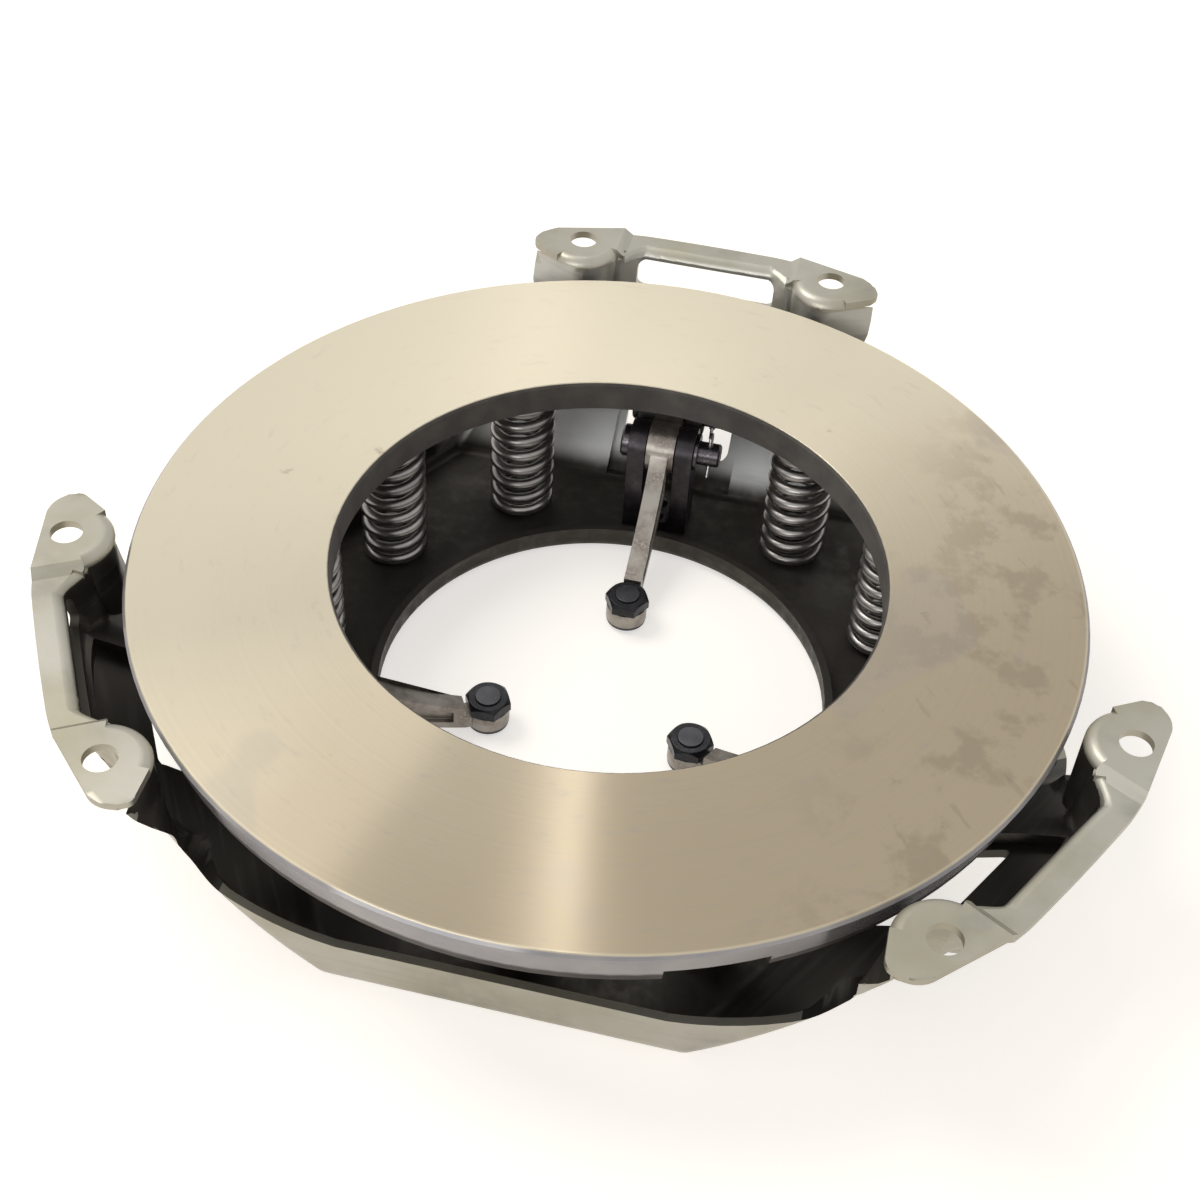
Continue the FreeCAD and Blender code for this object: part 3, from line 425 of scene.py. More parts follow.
@dataclass(frozen=True)
class PressedSheet:
    """The cover's unpainted pressed sheet: grey-cream, with olive tints and rolling marks.

    Faces that are marked as inside are painted nearly black as shade, apart from the inner panels of the
    lobe on +Y, which are painted bright as the light that they catch.
    """

    light: Colour = (0.45, 0.43, 0.37)
    warm: Colour = (0.35, 0.325, 0.24)
    dull: Colour = (0.24, 0.23, 0.21)
    # The painted shade inside the cover and in its low recesses.
    painted_shade: Colour = (0.045, 0.040, 0.034)
    # The painted light on the inner panels of the lobe on +Y.
    painted_panel_light: Colour = (0.90, 0.90, 0.88)
    # Where painted shade darkens the low inner recesses of the cover.
    recess_shade_heights: Span = (0.022, 0.001)
    recess_shade_radii: Span = (0.128, 0.108)
    lit_place: float = 0.094
    lit_fade: float = 0.010
    lit_foot: Span = (-0.057, -0.063)
    lit_panel: Span = (-0.026, -0.040)
    metal: float = 0.82
    roughness: float = 0.30
    grain: float = 0.00004

    def build(self, floor_z: float) -> bpy.types.Material:
        """Make the material.

        Args:
            floor_z: The height of the cover's inner floor.

        Returns:
            The material.
        """
        paint = Paint("pressed_sheet")
        clouds = paint.noise(22.0, 5.0)
        fine = paint.noise(210.0, 4.0, 0.65)
        colour = paint.mix(clouds.ramp(0.35, 0.72), self.light, self.warm)
        colour = paint.mix(paint.noise(48.0, 5.0).ramp(0.52, 0.78) * 0.6, colour, self.dull)
        # Painted shade: darker low down near the inner floor and towards the middle.
        low = paint.z.ramp(*(floor_z + each for each in self.recess_shade_heights))
        recess_shade = low * paint.radius().ramp(*self.recess_shade_radii) * fine.ramp(0.25, 0.6)
        colour = self.shaded(paint, paint.mix(recess_shade * 0.55, colour, self.painted_shade))
        rolled = paint.stretched(paint.x * 4.0, paint.y * 4.0, paint.z * 60.0)
        stripes = paint.noise(6.0, 2.0, 0.5, rolled)
        colour = paint.mix(stripes.ramp(0.5, 0.8) * 0.25, colour, self.dull)
        paint.set(Base_Color=colour, Metallic=self.metal,
                  Roughness=self.roughness + clouds * 0.14 + recess_shade * 0.2 + fine * 0.06)
        paint.bump(fine * 0.6 + paint.noise(45.0, 2.0) * 2.0, self.grain)
        return paint.material

    def shaded(self, paint: Paint, colour: bpy.types.NodeSocket) -> bpy.types.NodeSocket:
        """Paint shade on the inside of the cover and paint light on the inner panels of the lobe on +Y.

        Args:
            paint: The material.
            colour: The sheet's colour.

        Returns:
            The sheet's colour, inside and out.
        """
        marks = paint.node("ShaderNodeAttribute", {"attribute_name": INSIDE_MARKS})
        inside = Value(paint, marks.outputs["Fac"])
        unlit = (paint.y - self.lit_place).ramp(self.lit_fade, 0.0).most(paint.z.ramp(*self.lit_foot))
        # Painted shade: inside faces go nearly black, apart from the panels of the lobe on +Y above its
        # floor.
        colour = paint.mix(inside * (unlit * 0.95 + 0.05) * 0.95, colour, self.painted_shade)
        # Painted light: those panels are brightened, more so lower down.
        panel = inside * (1.0 - unlit) * (paint.z.ramp(*self.lit_panel) * 0.75 + 0.2)
        return paint.mix(panel, colour, self.painted_panel_light)


@dataclass(frozen=True)
class Steel:
    """A piece's steel, from black oxide to ground and worn."""

    name: str
    base: Colour
    second: Colour
    worn: Colour
    metal: float
    roughness: float
    clouds_per_metre: float
    grain: float
    wear: float

    def build(self) -> bpy.types.Material:
        """Make the material.

        Returns:
            The material.
        """
        paint = Paint(self.name)
        clouds = paint.noise(self.clouds_per_metre, 5.0)
        specks = paint.noise(self.clouds_per_metre * 7.0, 3.0, 0.7)
        colour = paint.mix(clouds.ramp(0.35, 0.7), self.base, self.second)
        rubbed = (clouds * 0.6 + specks * 0.5).ramp(0.58, 0.78) * self.wear
        colour = paint.mix(rubbed, colour, self.worn)
        uneven = (specks - 0.5) * 0.25 * min(self.wear * 4.0, 1.0)
        paint.set(Base_Color=colour, Metallic=self.metal,
                  Roughness=self.roughness + uneven - rubbed * 0.1)
        paint.bump(specks + clouds * 0.8, self.grain)
        return paint.material


class Finish(Enum):
    """The finishes of the smaller pieces."""

    SPRING = Steel("spring_wire", (0.36, 0.34, 0.32), (0.20, 0.19, 0.18), (0.50, 0.46, 0.41),
                   metal=0.92, roughness=0.3, clouds_per_metre=60.0, grain=0.000002, wear=0.12)
    FORGED = Steel("black_forging", (0.030, 0.026, 0.030), (0.055, 0.046, 0.050), (0.22, 0.20, 0.20),
                   metal=0.6, roughness=0.36, clouds_per_metre=180.0, grain=0.00005, wear=0.25)
    LEVER = Steel("worn_lever", (0.38, 0.35, 0.31), (0.20, 0.17, 0.145), (0.62, 0.58, 0.52),
                  metal=0.75, roughness=0.36, clouds_per_metre=150.0, grain=0.00005, wear=0.6)
    NUT = Steel("black_oxide", (0.016, 0.016, 0.018), (0.03, 0.03, 0.033), (0.16, 0.16, 0.17),
                metal=0.7, roughness=0.28, clouds_per_metre=260.0, grain=0.00001, wear=0.25)
    SCREW = Steel("screw_steel", (0.080, 0.080, 0.085), (0.045, 0.045, 0.050), (0.30, 0.30, 0.30),
                  metal=0.9, roughness=0.32, clouds_per_metre=120.0, grain=0.000004, wear=0.15)
    PIN = Steel("pin_steel", (0.12, 0.11, 0.12), (0.07, 0.062, 0.068), (0.45, 0.43, 0.42),
                metal=0.85, roughness=0.3, clouds_per_metre=220.0, grain=0.00001, wear=0.4)
    SPLIT = Steel("split_pin_wire", (0.55, 0.55, 0.55), (0.36, 0.35, 0.34), (0.75, 0.75, 0.74),
                  metal=0.9, roughness=0.3, clouds_per_metre=300.0, grain=0.00001, wear=0.4)


def smooth_step(value: float, low: float, high: float) -> float:
    """A smooth rise from 0 at low to 1 at high, or a fall where low is the larger."""
    share = min(max((value - low) / (high - low), 0.0), 1.0)
    return share * share * (3.0 - 2.0 * share)


@dataclass
class DrawnForm:
    """How the drawn sheet of the cover runs near its ears, over the plainer CAD form.

    Between the ears the wall stands under a straight chord, close to the strip's outer
    edge. At an ear's heel the wall sweeps on from the bolt's pocket to the ear's corner.
    The ears' outer corners are rounded. Heights are below the ears' plane, and a pair of
    heights or shares says where a move starts and where it is whole. The place of a corner
    is the least that it lies outwards, to the side and in height.
    """

    lobes: tuple[float, ...] = (90.0, 210.0, 330.0)
    valley_turn: float = 60.0
    lobe_middle: float = 0.053
    roll_radius: float = 0.0955
    wall_radius: float = 0.1025
    wall_reach: float = 0.088
    wall_heights: Span = (-0.036, -0.010)
    strip_edge: float = 0.1632
    chord: float = 0.1512
    chord_side: float = 0.0215
    pocket_side: float = 0.0305
    bolt: Span = (0.15086, 0.04403)
    pocket: float = 0.0135
    nose_shares: Span = (0.75, 0.0)
    heel_outs: Span = (0.100, 0.1205)
    heel_top: float = -0.0030
    heel_reach: float = 0.0120
    reach_heights: Span = (-0.040, -0.005)
    heel_flare: float = 0.0075
    flare_top: Span = (-0.003, -0.018)
    flare_foot: Span = (-0.041, -0.024)
    rim_corner_side: float = 0.0791
    heel_side: float = 0.0951
    corner_radius: float = 0.0035
    corner_place: Place = (0.149, 0.036, -0.004)
    corner_height: float = 0.002
    corner_lean: float = 1e-6
    corner_bend: float = 20.0
    cut_foot: float = -0.052
    cut_reach: float = 0.110
    first_level: float = -0.001
    level_step: float = 0.004
    levels: int = 12
    wall_outs: Span = (0.128, 0.165)
    wall_margin: float = 0.001
    wall_step: float = 0.0016
    heel_cut_side: float = 0.077
    heel_step: float = 0.003

    def wall(self, out: float, side: float, z: float) -> float:
        """How far the wall between two ears moves outwards at a place.

        Args:
            out: The distance from the middle, along the lobe.
            side: The distance to one side of the lobe's axis.
            z: The height.

        Returns:
            The move, in metres.
        """
        side = abs(side)
        if side > self.pocket_side or out < self.lobe_middle:
            return 0.0
        reach = math.hypot(out - self.lobe_middle, side)
        if reach < self.wall_reach:
            return 0.0
        roll = self.lobe_middle + math.sqrt(self.roll_radius ** 2 - side ** 2)
        wall = self.lobe_middle + math.sqrt(self.wall_radius ** 2 - side ** 2)
        share = 1.0 - min(max((out - wall) / (self.strip_edge - wall), 0.0), 1.0)
        level = smooth_step(z, *self.wall_heights)
        return (self.chord - roll) * share * level * smooth_step(side, self.pocket_side, self.chord_side)

    def heel(self, out: float, side: float, z: float) -> tuple[float, float]:
        """How far the wall beside an ear's heel moves, in the valley's own axes.

        Args:
            out: The distance from the middle, along the valley.
            side: The distance to one side of the valley's axis.
            z: The height.

        Returns:
            The moves outwards and towards the valley's axis.
        """
        hand = abs(side)
        if not self.heel_outs[0] < out < self.heel_outs[1] or z > self.heel_top:
            return 0.0, 0.0
        if hand < self.rim_corner_side:
            return 0.0, 0.0
        turn = math.radians(self.valley_turn)
        bolt_out = self.bolt[0] * math.cos(turn) + self.bolt[1] * math.sin(turn)
        bolt_side = self.bolt[0] * math.sin(turn) - self.bolt[1] * math.cos(turn)
        nose = max(bolt_out - out, 0.0) / self.pocket if hand > self.heel_side else 0.0
        share = smooth_step(nose, *self.nose_shares)
        share *= smooth_step(hand, self.rim_corner_side, self.heel_side)
        share *= 1.0 if hand < bolt_side else 0.0
        reach = self.heel_reach * smooth_step(z, *self.reach_heights) * share
        flare = self.heel_flare * smooth_step(z, *self.flare_top) * smooth_step(z, *self.flare_foot) * share
        return reach, flare

    def place(self, point: Vector) -> Vector:
        """Where a point of the CAD cover goes."""
        for angle in self.lobes:
            turn = turned(-angle)
            local = turn @ point
            move = self.wall(local.x, local.y, local.z)
            if move:
                return turn.inverted() @ (local + Vector((move, 0.0, 0.0)))
            turn = turned(-angle - self.valley_turn)
            local = turn @ point
            reach, flare = self.heel(local.x, local.y, local.z)
            if reach:
                return turn.inverted() @ (local + Vector((reach, -math.copysign(flare, local.y), 0.0)))
        return point

    def apply(self, work: bmesh.types.BMesh) -> None:
        """Round the ears' corners, cut the sheet finely near the ears and move its points.

        Args:
            work: The welded sheet's mesh.
        """
        self.round_corners(work)
        upright = Vector((0.0, 0.0, 1.0))
        near = [face for face in work.faces
                if max(vertex.co.z for vertex in face.verts) > self.cut_foot
                and max(vertex.co.xy.length for vertex in face.verts) > self.cut_reach]
        self.slice(work, near, [(upright * (self.first_level - self.level_step * index), upright)
                                for index in range(self.levels)])
        for angle in self.lobes:
            for low, high in ((-self.pocket_side, -self.chord_side), (self.chord_side, self.pocket_side)):
                sides = (low - self.wall_margin, high + self.wall_margin)
                self.slice_region(work, angle, self.wall_outs, sides, self.wall_step)
            for sides in ((-self.heel_side, -self.heel_cut_side), (self.heel_cut_side, self.heel_side)):
                self.slice_region(work, angle + self.valley_turn, self.heel_outs, sides, self.heel_step)
        for vertex in work.verts:
            vertex.co = self.place(vertex.co)
        work.normal_update()

    def round_corners(self, work: bmesh.types.BMesh) -> None:
        """Round the outer corners of the ears.

        Args:
            work: The sheet's mesh.
        """
        out, beside, foot = self.corner_place
        corners = []
        for edge in work.edges:
            first, second = (vertex.co for vertex in edge.verts)
            upright = (first.xy - second.xy).length < self.corner_lean
            tall = abs(first.z - second.z) > self.corner_height
            if not (upright and tall and edge.is_manifold) or min(first.z, second.z) < foot:
                continue
            if first.xy.length < out or edge.calc_face_angle(0.0) < math.radians(self.corner_bend):
                continue
            places = [turned(-angle) @ first for angle in self.lobes]
            sides = [abs(place.y) for place in places if place.x > first.xy.length / 2]
            if sides and min(sides) > beside:
                corners.append(edge)
        LOG.info("ear corners rounded: %d", len(corners))
        bmesh.ops.bevel(work, geom=corners, offset=self.corner_radius, segments=4, profile=0.5,
                        affect="EDGES", clamp_overlap=True)

    def slice_region(self, work: bmesh.types.BMesh, angle: float, outs: Span, sides: Span,
                     step: float) -> None:
        """Cut one region of the sheet by even upright planes.

        Args:
            work: The sheet's mesh.
            angle: The direction of the region's own axis, in degrees.
            outs: The region's reach along the axis.
            sides: Its reach across the axis.
            step: The distance between the planes.
        """
        turn = turned(angle)
        back = turn.inverted()
        places = {vertex: back @ vertex.co for vertex in work.verts}
        faces = []
        for face in work.faces:
            xs, ys, zs = zip(*(places[vertex] for vertex in face.verts))
            along = max(xs) > outs[0] and min(xs) < outs[1]
            across = max(ys) > sides[0] and min(ys) < sides[1]
            if along and across and max(zs) > self.cut_foot:
                faces.append(face)
        normal = turn @ Vector((0.0, 1.0, 0.0))
        count = max(round((sides[1] - sides[0]) / step), 1)
        each = (sides[1] - sides[0]) / count
        self.slice(work, faces, [(normal * (sides[0] + each * index), normal)
                                 for index in range(count + 1)])

    @staticmethod
    def slice(work: bmesh.types.BMesh, faces: list[bmesh.types.BMFace],
              cuts: list[tuple[Vector, Vector]]) -> None:
        """Cut faces by planes.

        Args:
            work: The sheet's mesh.
            faces: The faces to cut.
            cuts: A point and the normal of each plane.
        """
        # Dictionaries keep the order of the faces, which sets don't.
        edges = dict.fromkeys(edge for face in faces for edge in face.edges)
        vertices = dict.fromkeys(vertex for face in faces for vertex in face.verts)
        pieces = [*faces, *edges, *vertices]
        for place, normal in cuts:
            result = bmesh.ops.bisect_plane(work, geom=pieces, plane_co=place, plane_no=normal)
            pieces = result["geom"]


class Refiner:
    """Turns a CAD node into a welded, softly edged copy with a finish."""

    def __init__(self) -> None:
        """Build each finish once."""
        self.materials = {finish: finish.value.build() for finish in Finish}

    def copy(self, node: str, material: bpy.types.Material, edge: float,
             crease: float = 32.0, form: DrawnForm | None = None) -> bpy.types.Object:
        """Make the copy that is shown instead of a node.

        Args:
            node: The CAD node.
            material: Its finish.
            edge: The width of the softened edges, in metres, or 0 for none.
            crease: The angle in degrees past which an edge stays sharp.
            form: How the copy's points move, if they do.

        Returns:
            The new piece, riding on the node's body.
        """
        source = frame["nodes"][node]
        mesh = source.data.copy()
        self.weld(mesh, crease, form)
        mesh.materials.clear()
        mesh.materials.append(material)
        piece = bpy.data.objects.new(node + "_shown", mesh)
        bpy.context.scene.collection.objects.link(piece)
        self.soften(piece, edge, crease)
        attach(piece, source["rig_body"])
        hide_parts(node)
        LOG.info("%s: %d faces", piece.name, len(mesh.polygons))
        return piece

    @staticmethod
    def weld(mesh: bpy.types.Mesh, crease: float, form: DrawnForm | None) -> None:
        """Join a node's loose triangles into clean faces, smooth up to the crease.

        Args:
            mesh: A copy of the node's mesh.
            crease: The angle in degrees past which an edge stays sharp.
            form: How its points move, if they do.
        """
        if "custom_normal" in mesh.attributes:
            mesh.attributes.remove(mesh.attributes["custom_normal"])
        work = bmesh.new()
        work.from_mesh(mesh)
        bmesh.ops.remove_doubles(work, verts=work.verts, dist=WELD_DISTANCE)
        if form:
            form.apply(work)
        flat = math.radians(FLAT_DEGREES)
        bmesh.ops.dissolve_limit(work, angle_limit=flat, verts=work.verts, edges=work.edges)
        for face in work.faces:
            face.smooth = True
        for edge in work.edges:
            edge.smooth = edge.is_manifold and edge.calc_face_angle(0.0) < math.radians(crease)
        work.to_mesh(mesh)
        work.free()

    @staticmethod
    def soften(piece: bpy.types.Object, edge: float, crease: float) -> None:
        """Round a piece's sharp edges a little and keep its flat faces flat.

        Args:
            piece: The piece.
            edge: The width of the rounding, or 0 for none.
            crease: The angle in degrees past which an edge is sharp.
        """
        if edge:
            bevel = piece.modifiers.new("soft_edges", "BEVEL")
            bevel.width = edge
            bevel.segments = 2
            bevel.limit_method = "ANGLE"
            bevel.angle_limit = math.radians(crease)
            bevel.use_clamp_overlap = True
        flats = piece.modifiers.new("flat_faces", "WEIGHTED_NORMAL")
        flats.keep_sharp = True


@dataclass
class InsideMarks:
    """Marks the faces that can be seen from within the cover, for its finish's painted shade and painted
    light to read.
    """

    form: DrawnForm
    lift: float = 0.0004
    top: float = -0.0045
    middle_height: float = -0.030
    eye_height: float = -0.012
    lobe_out: float = 0.125
    valley_out: float = 0.095
    valley_sides: tuple[float, ...] = (-0.07, -0.03, 0.03, 0.07)
    rim_out: float = 0.110
    rim_foot: float = -0.055
    rim_facing: float = 0.3

    def eyes(self) -> list[Vector]:
        """The places from which the inside is looked at."""
        eyes = [Vector((0.0, 0.0, self.middle_height))]
        for angle in self.form.lobes:
            eyes.append(turned(angle) @ Vector((self.lobe_out, 0.0, self.eye_height)))
            valley = turned(angle + self.form.valley_turn)
            eyes += [valley @ Vector((self.valley_out, side, self.eye_height))
                     for side in self.valley_sides]
        return eyes

    def on_rim(self, face: bpy.types.MeshPolygon) -> bool:
        """Whether a face is the sheet's edge along the low rim of a valley."""
        for angle in self.form.lobes:
            turn = turned(-angle - self.form.valley_turn)
            place, facing = turn @ face.center, turn @ face.normal
            near = abs(place.y) < self.form.rim_corner_side and place.x > self.rim_out
            if near and place.z > self.rim_foot and abs(facing.x) < self.rim_facing:
                return True
        return False

    def mark(self, mesh: bpy.types.Mesh) -> None:
        """Give each face 1 where it is inside and 0 elsewhere.

        Args:
            mesh: The cover that is shown.
        """
        marks = mesh.attributes.new(INSIDE_MARKS, "FLOAT", "FACE")
        skin = BVHTree.FromPolygons([vertex.co for vertex in mesh.vertices],
                                    [tuple(face.vertices) for face in mesh.polygons])
        eyes = self.eyes()
        inner = self.inner_points(mesh)
        for face in mesh.polygons:
            low = face.center.z < self.top and not self.on_rim(face)
            seen = low and any(self.seen(skin, eyes, point, face.normal)
                               for point in (face.center, inner[face.index]))
            marks.data[face.index].value = 1.0 if seen else 0.0

    def seen(self, skin: BVHTree, eyes: list[Vector], point: Vector, normal: Vector) -> bool:
        """Whether any of the eyes sees a point of the sheet, from its front.

        Args:
            skin: The sheet.
            eyes: The places from which it is looked at.
            point: The point.
            normal: The sheet's normal there.

        Returns:
            Whether it is seen.
        """
        start = point + normal * self.lift
        for way in (eye - start for eye in eyes):
            if way.dot(normal) > 0.0 and skin.ray_cast(start, way.normalized(), way.length)[0] is None:
                return True
        return False

    @staticmethod
    def inner_points(mesh: bpy.types.Mesh) -> dict[int, Vector]:
        """A point that surely lies on each face: the middle of its largest triangle."""
        mesh.calc_loop_triangles()
        largest: dict[int, bpy.types.MeshLoopTriangle] = {}
        for triangle in mesh.loop_triangles:
            rival = largest.get(triangle.polygon_index)
            if rival is None or triangle.area > rival.area:
                largest[triangle.polygon_index] = triangle
        return {index: sum((mesh.vertices[corner].co for corner in triangle.vertices), Vector()) / 3
                for index, triangle in largest.items()}


@dataclass
class Cover:
    """The pressed cover with its yokes, pins and rivets."""

    sheet: float = 0.0025
    edge: float = 0.0003
    yoke_edge: float = 0.0006
    washer_edge: float = 0.00015
    crease: float = 28.0
    form: DrawnForm = field(default_factory=DrawnForm)
    finish: PressedSheet = field(default_factory=PressedSheet)

    def dress(self, refiner: Refiner) -> None:
        """Give the cover and what is fixed to it their finishes.

        Args:
            refiner: Makes the copies that are shown.
        """
        floor_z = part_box("clutch_cover")[0].z + self.sheet
        steel = self.finish.build(floor_z)
        cover = refiner.copy("clutch_cover", steel, 0.0, self.crease, self.form)
        InsideMarks(self.form).mark(cover.data)
        for number in LEVER_NUMBERS:
            refiner.copy(f"lever_yoke_{number}", refiner.materials[Finish.FORGED], self.yoke_edge)
            refiner.copy(f"fulcrum_pin_{number}", refiner.materials[Finish.PIN], self.edge)
        refiner.copy("yoke_rivets", refiner.materials[Finish.PIN], 0.0)
        refiner.copy("fulcrum_washers", refiner.materials[Finish.PIN], self.washer_edge)
        refiner.copy("fulcrum_split_pins", refiner.materials[Finish.SPLIT], 0.0)


@dataclass
class Ring:
    """The cast pressure plate and the pins that hang it on the levers."""

    bore: float = 0.0815
    rim: float = 0.1376
    pin_edge: float = 0.0003
    crease: float = 28.0
    finish: TurnedIron = field(default_factory=TurnedIron)

    def dress(self, refiner: Refiner) -> None:
        """Give the ring and its pins their finishes.

        Args:
            refiner: Makes the copies that are shown.
        """
        face_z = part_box("pressure_plate")[1].z
        iron = self.finish.build(face_z, self.bore, self.rim)
        refiner.copy("pressure_plate", iron, 0.0, self.crease)
        for number in LEVER_NUMBERS:
            refiner.copy(f"plate_pin_{number}", refiner.materials[Finish.PIN], self.pin_edge)
        refiner.copy("plate_split_pins", refiner.materials[Finish.SPLIT], 0.0)


@dataclass
class Levers:
    """The three release levers with their bushes, screws and nuts."""

    lever_edge: float = 0.0005
    nut_edge: float = 0.0003
    small_edge: float = 0.0002

    def dress(self, refiner: Refiner) -> None:
        """Give the levers and their tips their finishes.

        Args:
            refiner: Makes the copies that are shown.
        """
        for number in LEVER_NUMBERS:
            refiner.copy(f"release_lever_{number}", refiner.materials[Finish.LEVER], self.lever_edge)
            refiner.copy(f"lever_bush_{number}", refiner.materials[Finish.SCREW], self.small_edge)
            refiner.copy(f"adjusting_screw_{number}", refiner.materials[Finish.SCREW], self.small_edge)
            refiner.copy(f"lock_nut_{number}", refiner.materials[Finish.NUT], self.nut_edge)


@dataclass
class Springs:
    """The nine coil springs, wound as round wire with ground ends."""

    count: int = 9
    wire: float = 0.0038
    coil_radius: float = 0.0091
    open_turns: float = 6.5
    closed_turns: float = 0.75
    ground_share: float = 0.2
    steps_per_turn: int = 40
    wire_sides: int = 18
    travel: float = 0.006
    inputs: tuple[str, ...] = ("Middle X", "Middle Y", "Foot", "Height", "Wire", "Coil Radius",
                               "Open Turns", "Closed Turns", "Ground Share", "Start Angle")

    def tree(self, material: bpy.types.Material) -> bpy.types.NodeTree:
        """Write the Geometry Nodes tree that winds one spring.

        Args:
            material: The wire's finish.

        Returns:
            The tree, with its sizes as named inputs.
        """
        tree = bpy.data.node_groups.new("wound_spring", "GeometryNodeTree")
        tree.interface.new_socket(name="Geometry", in_out="OUTPUT", socket_type="NodeSocketGeometry")
        for name in self.inputs:
            tree.interface.new_socket(name=name, in_out="INPUT", socket_type="NodeSocketFloat")
        graph = Graph(tree)
        entry = graph.node("NodeGroupInput")
        size = {name: Value(graph, entry.outputs[name]) for name in self.inputs}
        wire = self.tube(graph, size, self.helix(graph, size))
        dressed = graph.node("GeometryNodeSetMaterial", None, {"Geometry": wire, "Material": material})
        exit_node = graph.node("NodeGroupOutput")
        tree.links.new(dressed.outputs[0], exit_node.inputs[0])
        return tree

    def helix(self, graph: Graph, size: dict[str, Value]) -> bpy.types.NodeSocket:
        """Place the points of a spring's middle line, close at both ends and open between.

        Args:
            graph: The spring's tree.
            size: The tree's inputs.

        Returns:
            The line's points.
        """
        turns = size["Open Turns"] + size["Closed Turns"] * 2.0
        count = turns * float(self.steps_per_turn) + 1.0
        line = graph.node("GeometryNodeMeshLine", None, {"Count": count})
        index = Value(graph, graph.node("GeometryNodeInputIndex").outputs[0])
        turn = index / float(self.steps_per_turn)
        first = turn.least(size["Closed Turns"])
        opened = (turn - size["Closed Turns"]).most(0.0).least(size["Open Turns"])
        last = (turn - size["Closed Turns"] - size["Open Turns"]).most(0.0)
        buried = size["Wire"] * size["Ground Share"]
        rise = size["Height"] - size["Wire"] + buried * 2.0
        pitch = (rise - size["Closed Turns"] * size["Wire"] * 2.0) / size["Open Turns"]
        height = size["Wire"] / 2.0 - buried + (first + last) * size["Wire"] + opened * pitch
        spin = turn * (2.0 * math.pi) + size["Start Angle"]
        x = size["Middle X"] + size["Coil Radius"] * spin.cosine()
        y = size["Middle Y"] + size["Coil Radius"] * spin.sine()
        point = graph.node("ShaderNodeCombineXYZ", None, {0: x, 1: y, 2: size["Foot"] + height})
        placed = graph.node("GeometryNodeSetPosition", None,
                            {"Geometry": line.outputs[0], "Position": point.outputs[0]})
        return placed.outputs[0]

    def tube(self, graph: Graph, size: dict[str, Value],
             line: bpy.types.NodeSocket) -> bpy.types.NodeSocket:
        """Run the wire along a spring's middle line and grind its ends flat.

        Args:
            graph: The spring's tree.
            size: The tree's inputs.
            line: The line's points.

        Returns:
            The wire.
        """
        curve = graph.node("GeometryNodeMeshToCurve", None, {0: line})
        circle = graph.node("GeometryNodeCurvePrimitiveCircle", None,
                            {"Resolution": self.wire_sides, "Radius": size["Wire"] / 2.0})
        tube = graph.node("GeometryNodeCurveToMesh", None,
                          {"Curve": curve.outputs[0], "Profile Curve": circle.outputs[0],
                           "Fill Caps": True})
        here = graph.node("ShaderNodeSeparateXYZ", None,
                          {0: graph.node("GeometryNodeInputPosition").outputs[0]})
        level = Value(graph, here.outputs[2]).most(size["Foot"]).least(size["Foot"] + size["Height"])
        flat = graph.node("ShaderNodeCombineXYZ", None,
                          {0: here.outputs[0], 1: here.outputs[1], 2: level})
        ground = graph.node("GeometryNodeSetPosition", None,
                            {"Geometry": tube.outputs[0], "Position": flat.outputs[0]})
        smooth = graph.node("GeometryNodeSetShadeSmooth", None, {"Geometry": ground.outputs[0]})
        real = graph.node("GeometryNodeRealizeInstances", None, {0: smooth.outputs[0]})
        return real.outputs[0]

    def wind(self, material: bpy.types.Material) -> None:
        """Wind each spring between its seats.

        Args:
            material: The wire's finish.
        """
        tree = self.tree(material)
        sockets = {item.name: item.identifier for item in tree.interface.items_tree
                   if item.in_out == "INPUT"}
        for number in range(1, self.count + 1):
            node = f"spring_{number}"
            low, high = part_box(node)
            middle = (low + high) / 2
            sizes = (middle.x, middle.y, low.z, high.z - low.z, self.wire, self.coil_radius,
                     self.open_turns, self.closed_turns, self.ground_share,
                     math.atan2(middle.y, middle.x))
            holder = bpy.data.objects.new(node + "_winder", bpy.data.meshes.new(node + "_blank"))
            bpy.context.scene.collection.objects.link(holder)
            modifier = holder.modifiers.new("winding", "NODES")
            modifier.node_group = tree
            for name, value in zip(self.inputs, sizes):
                modifier[sockets[name]] = value
            bpy.context.view_layer.update()
            evaluated = holder.evaluated_get(bpy.context.evaluated_depsgraph_get())
            mesh = bpy.data.meshes.new_from_object(evaluated)
            bpy.data.objects.remove(holder)
            piece = bpy.data.objects.new(node + "_coil", mesh)
            bpy.context.scene.collection.objects.link(piece)
            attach(piece, frame["nodes"][node]["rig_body"])
            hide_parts(node)
            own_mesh(piece)
            LOG.info("%s: %d faces", piece.name, len(mesh.polygons))


@dataclass(frozen=True)
class Lamp:
    """A soft rectangular lamp that faces the ring's middle."""

    name: str
    place: Place
    size: Span
    power: float
    tint: Colour

    def hang(self) -> None:
        """Hang the lamp in its place."""
        data = bpy.data.lights.new(self.name, "AREA")
        data.shape = "RECTANGLE"
        data.size, data.size_y = self.size
        data.energy = self.power
        data.color = self.tint
        lamp = bpy.data.objects.new(self.name, data)
        facing = Vector(self.place).to_track_quat("Z", "Y").to_matrix().to_4x4()
        lamp.matrix_world = Matrix.Translation(self.place) @ facing
        bpy.context.scene.collection.objects.link(lamp)


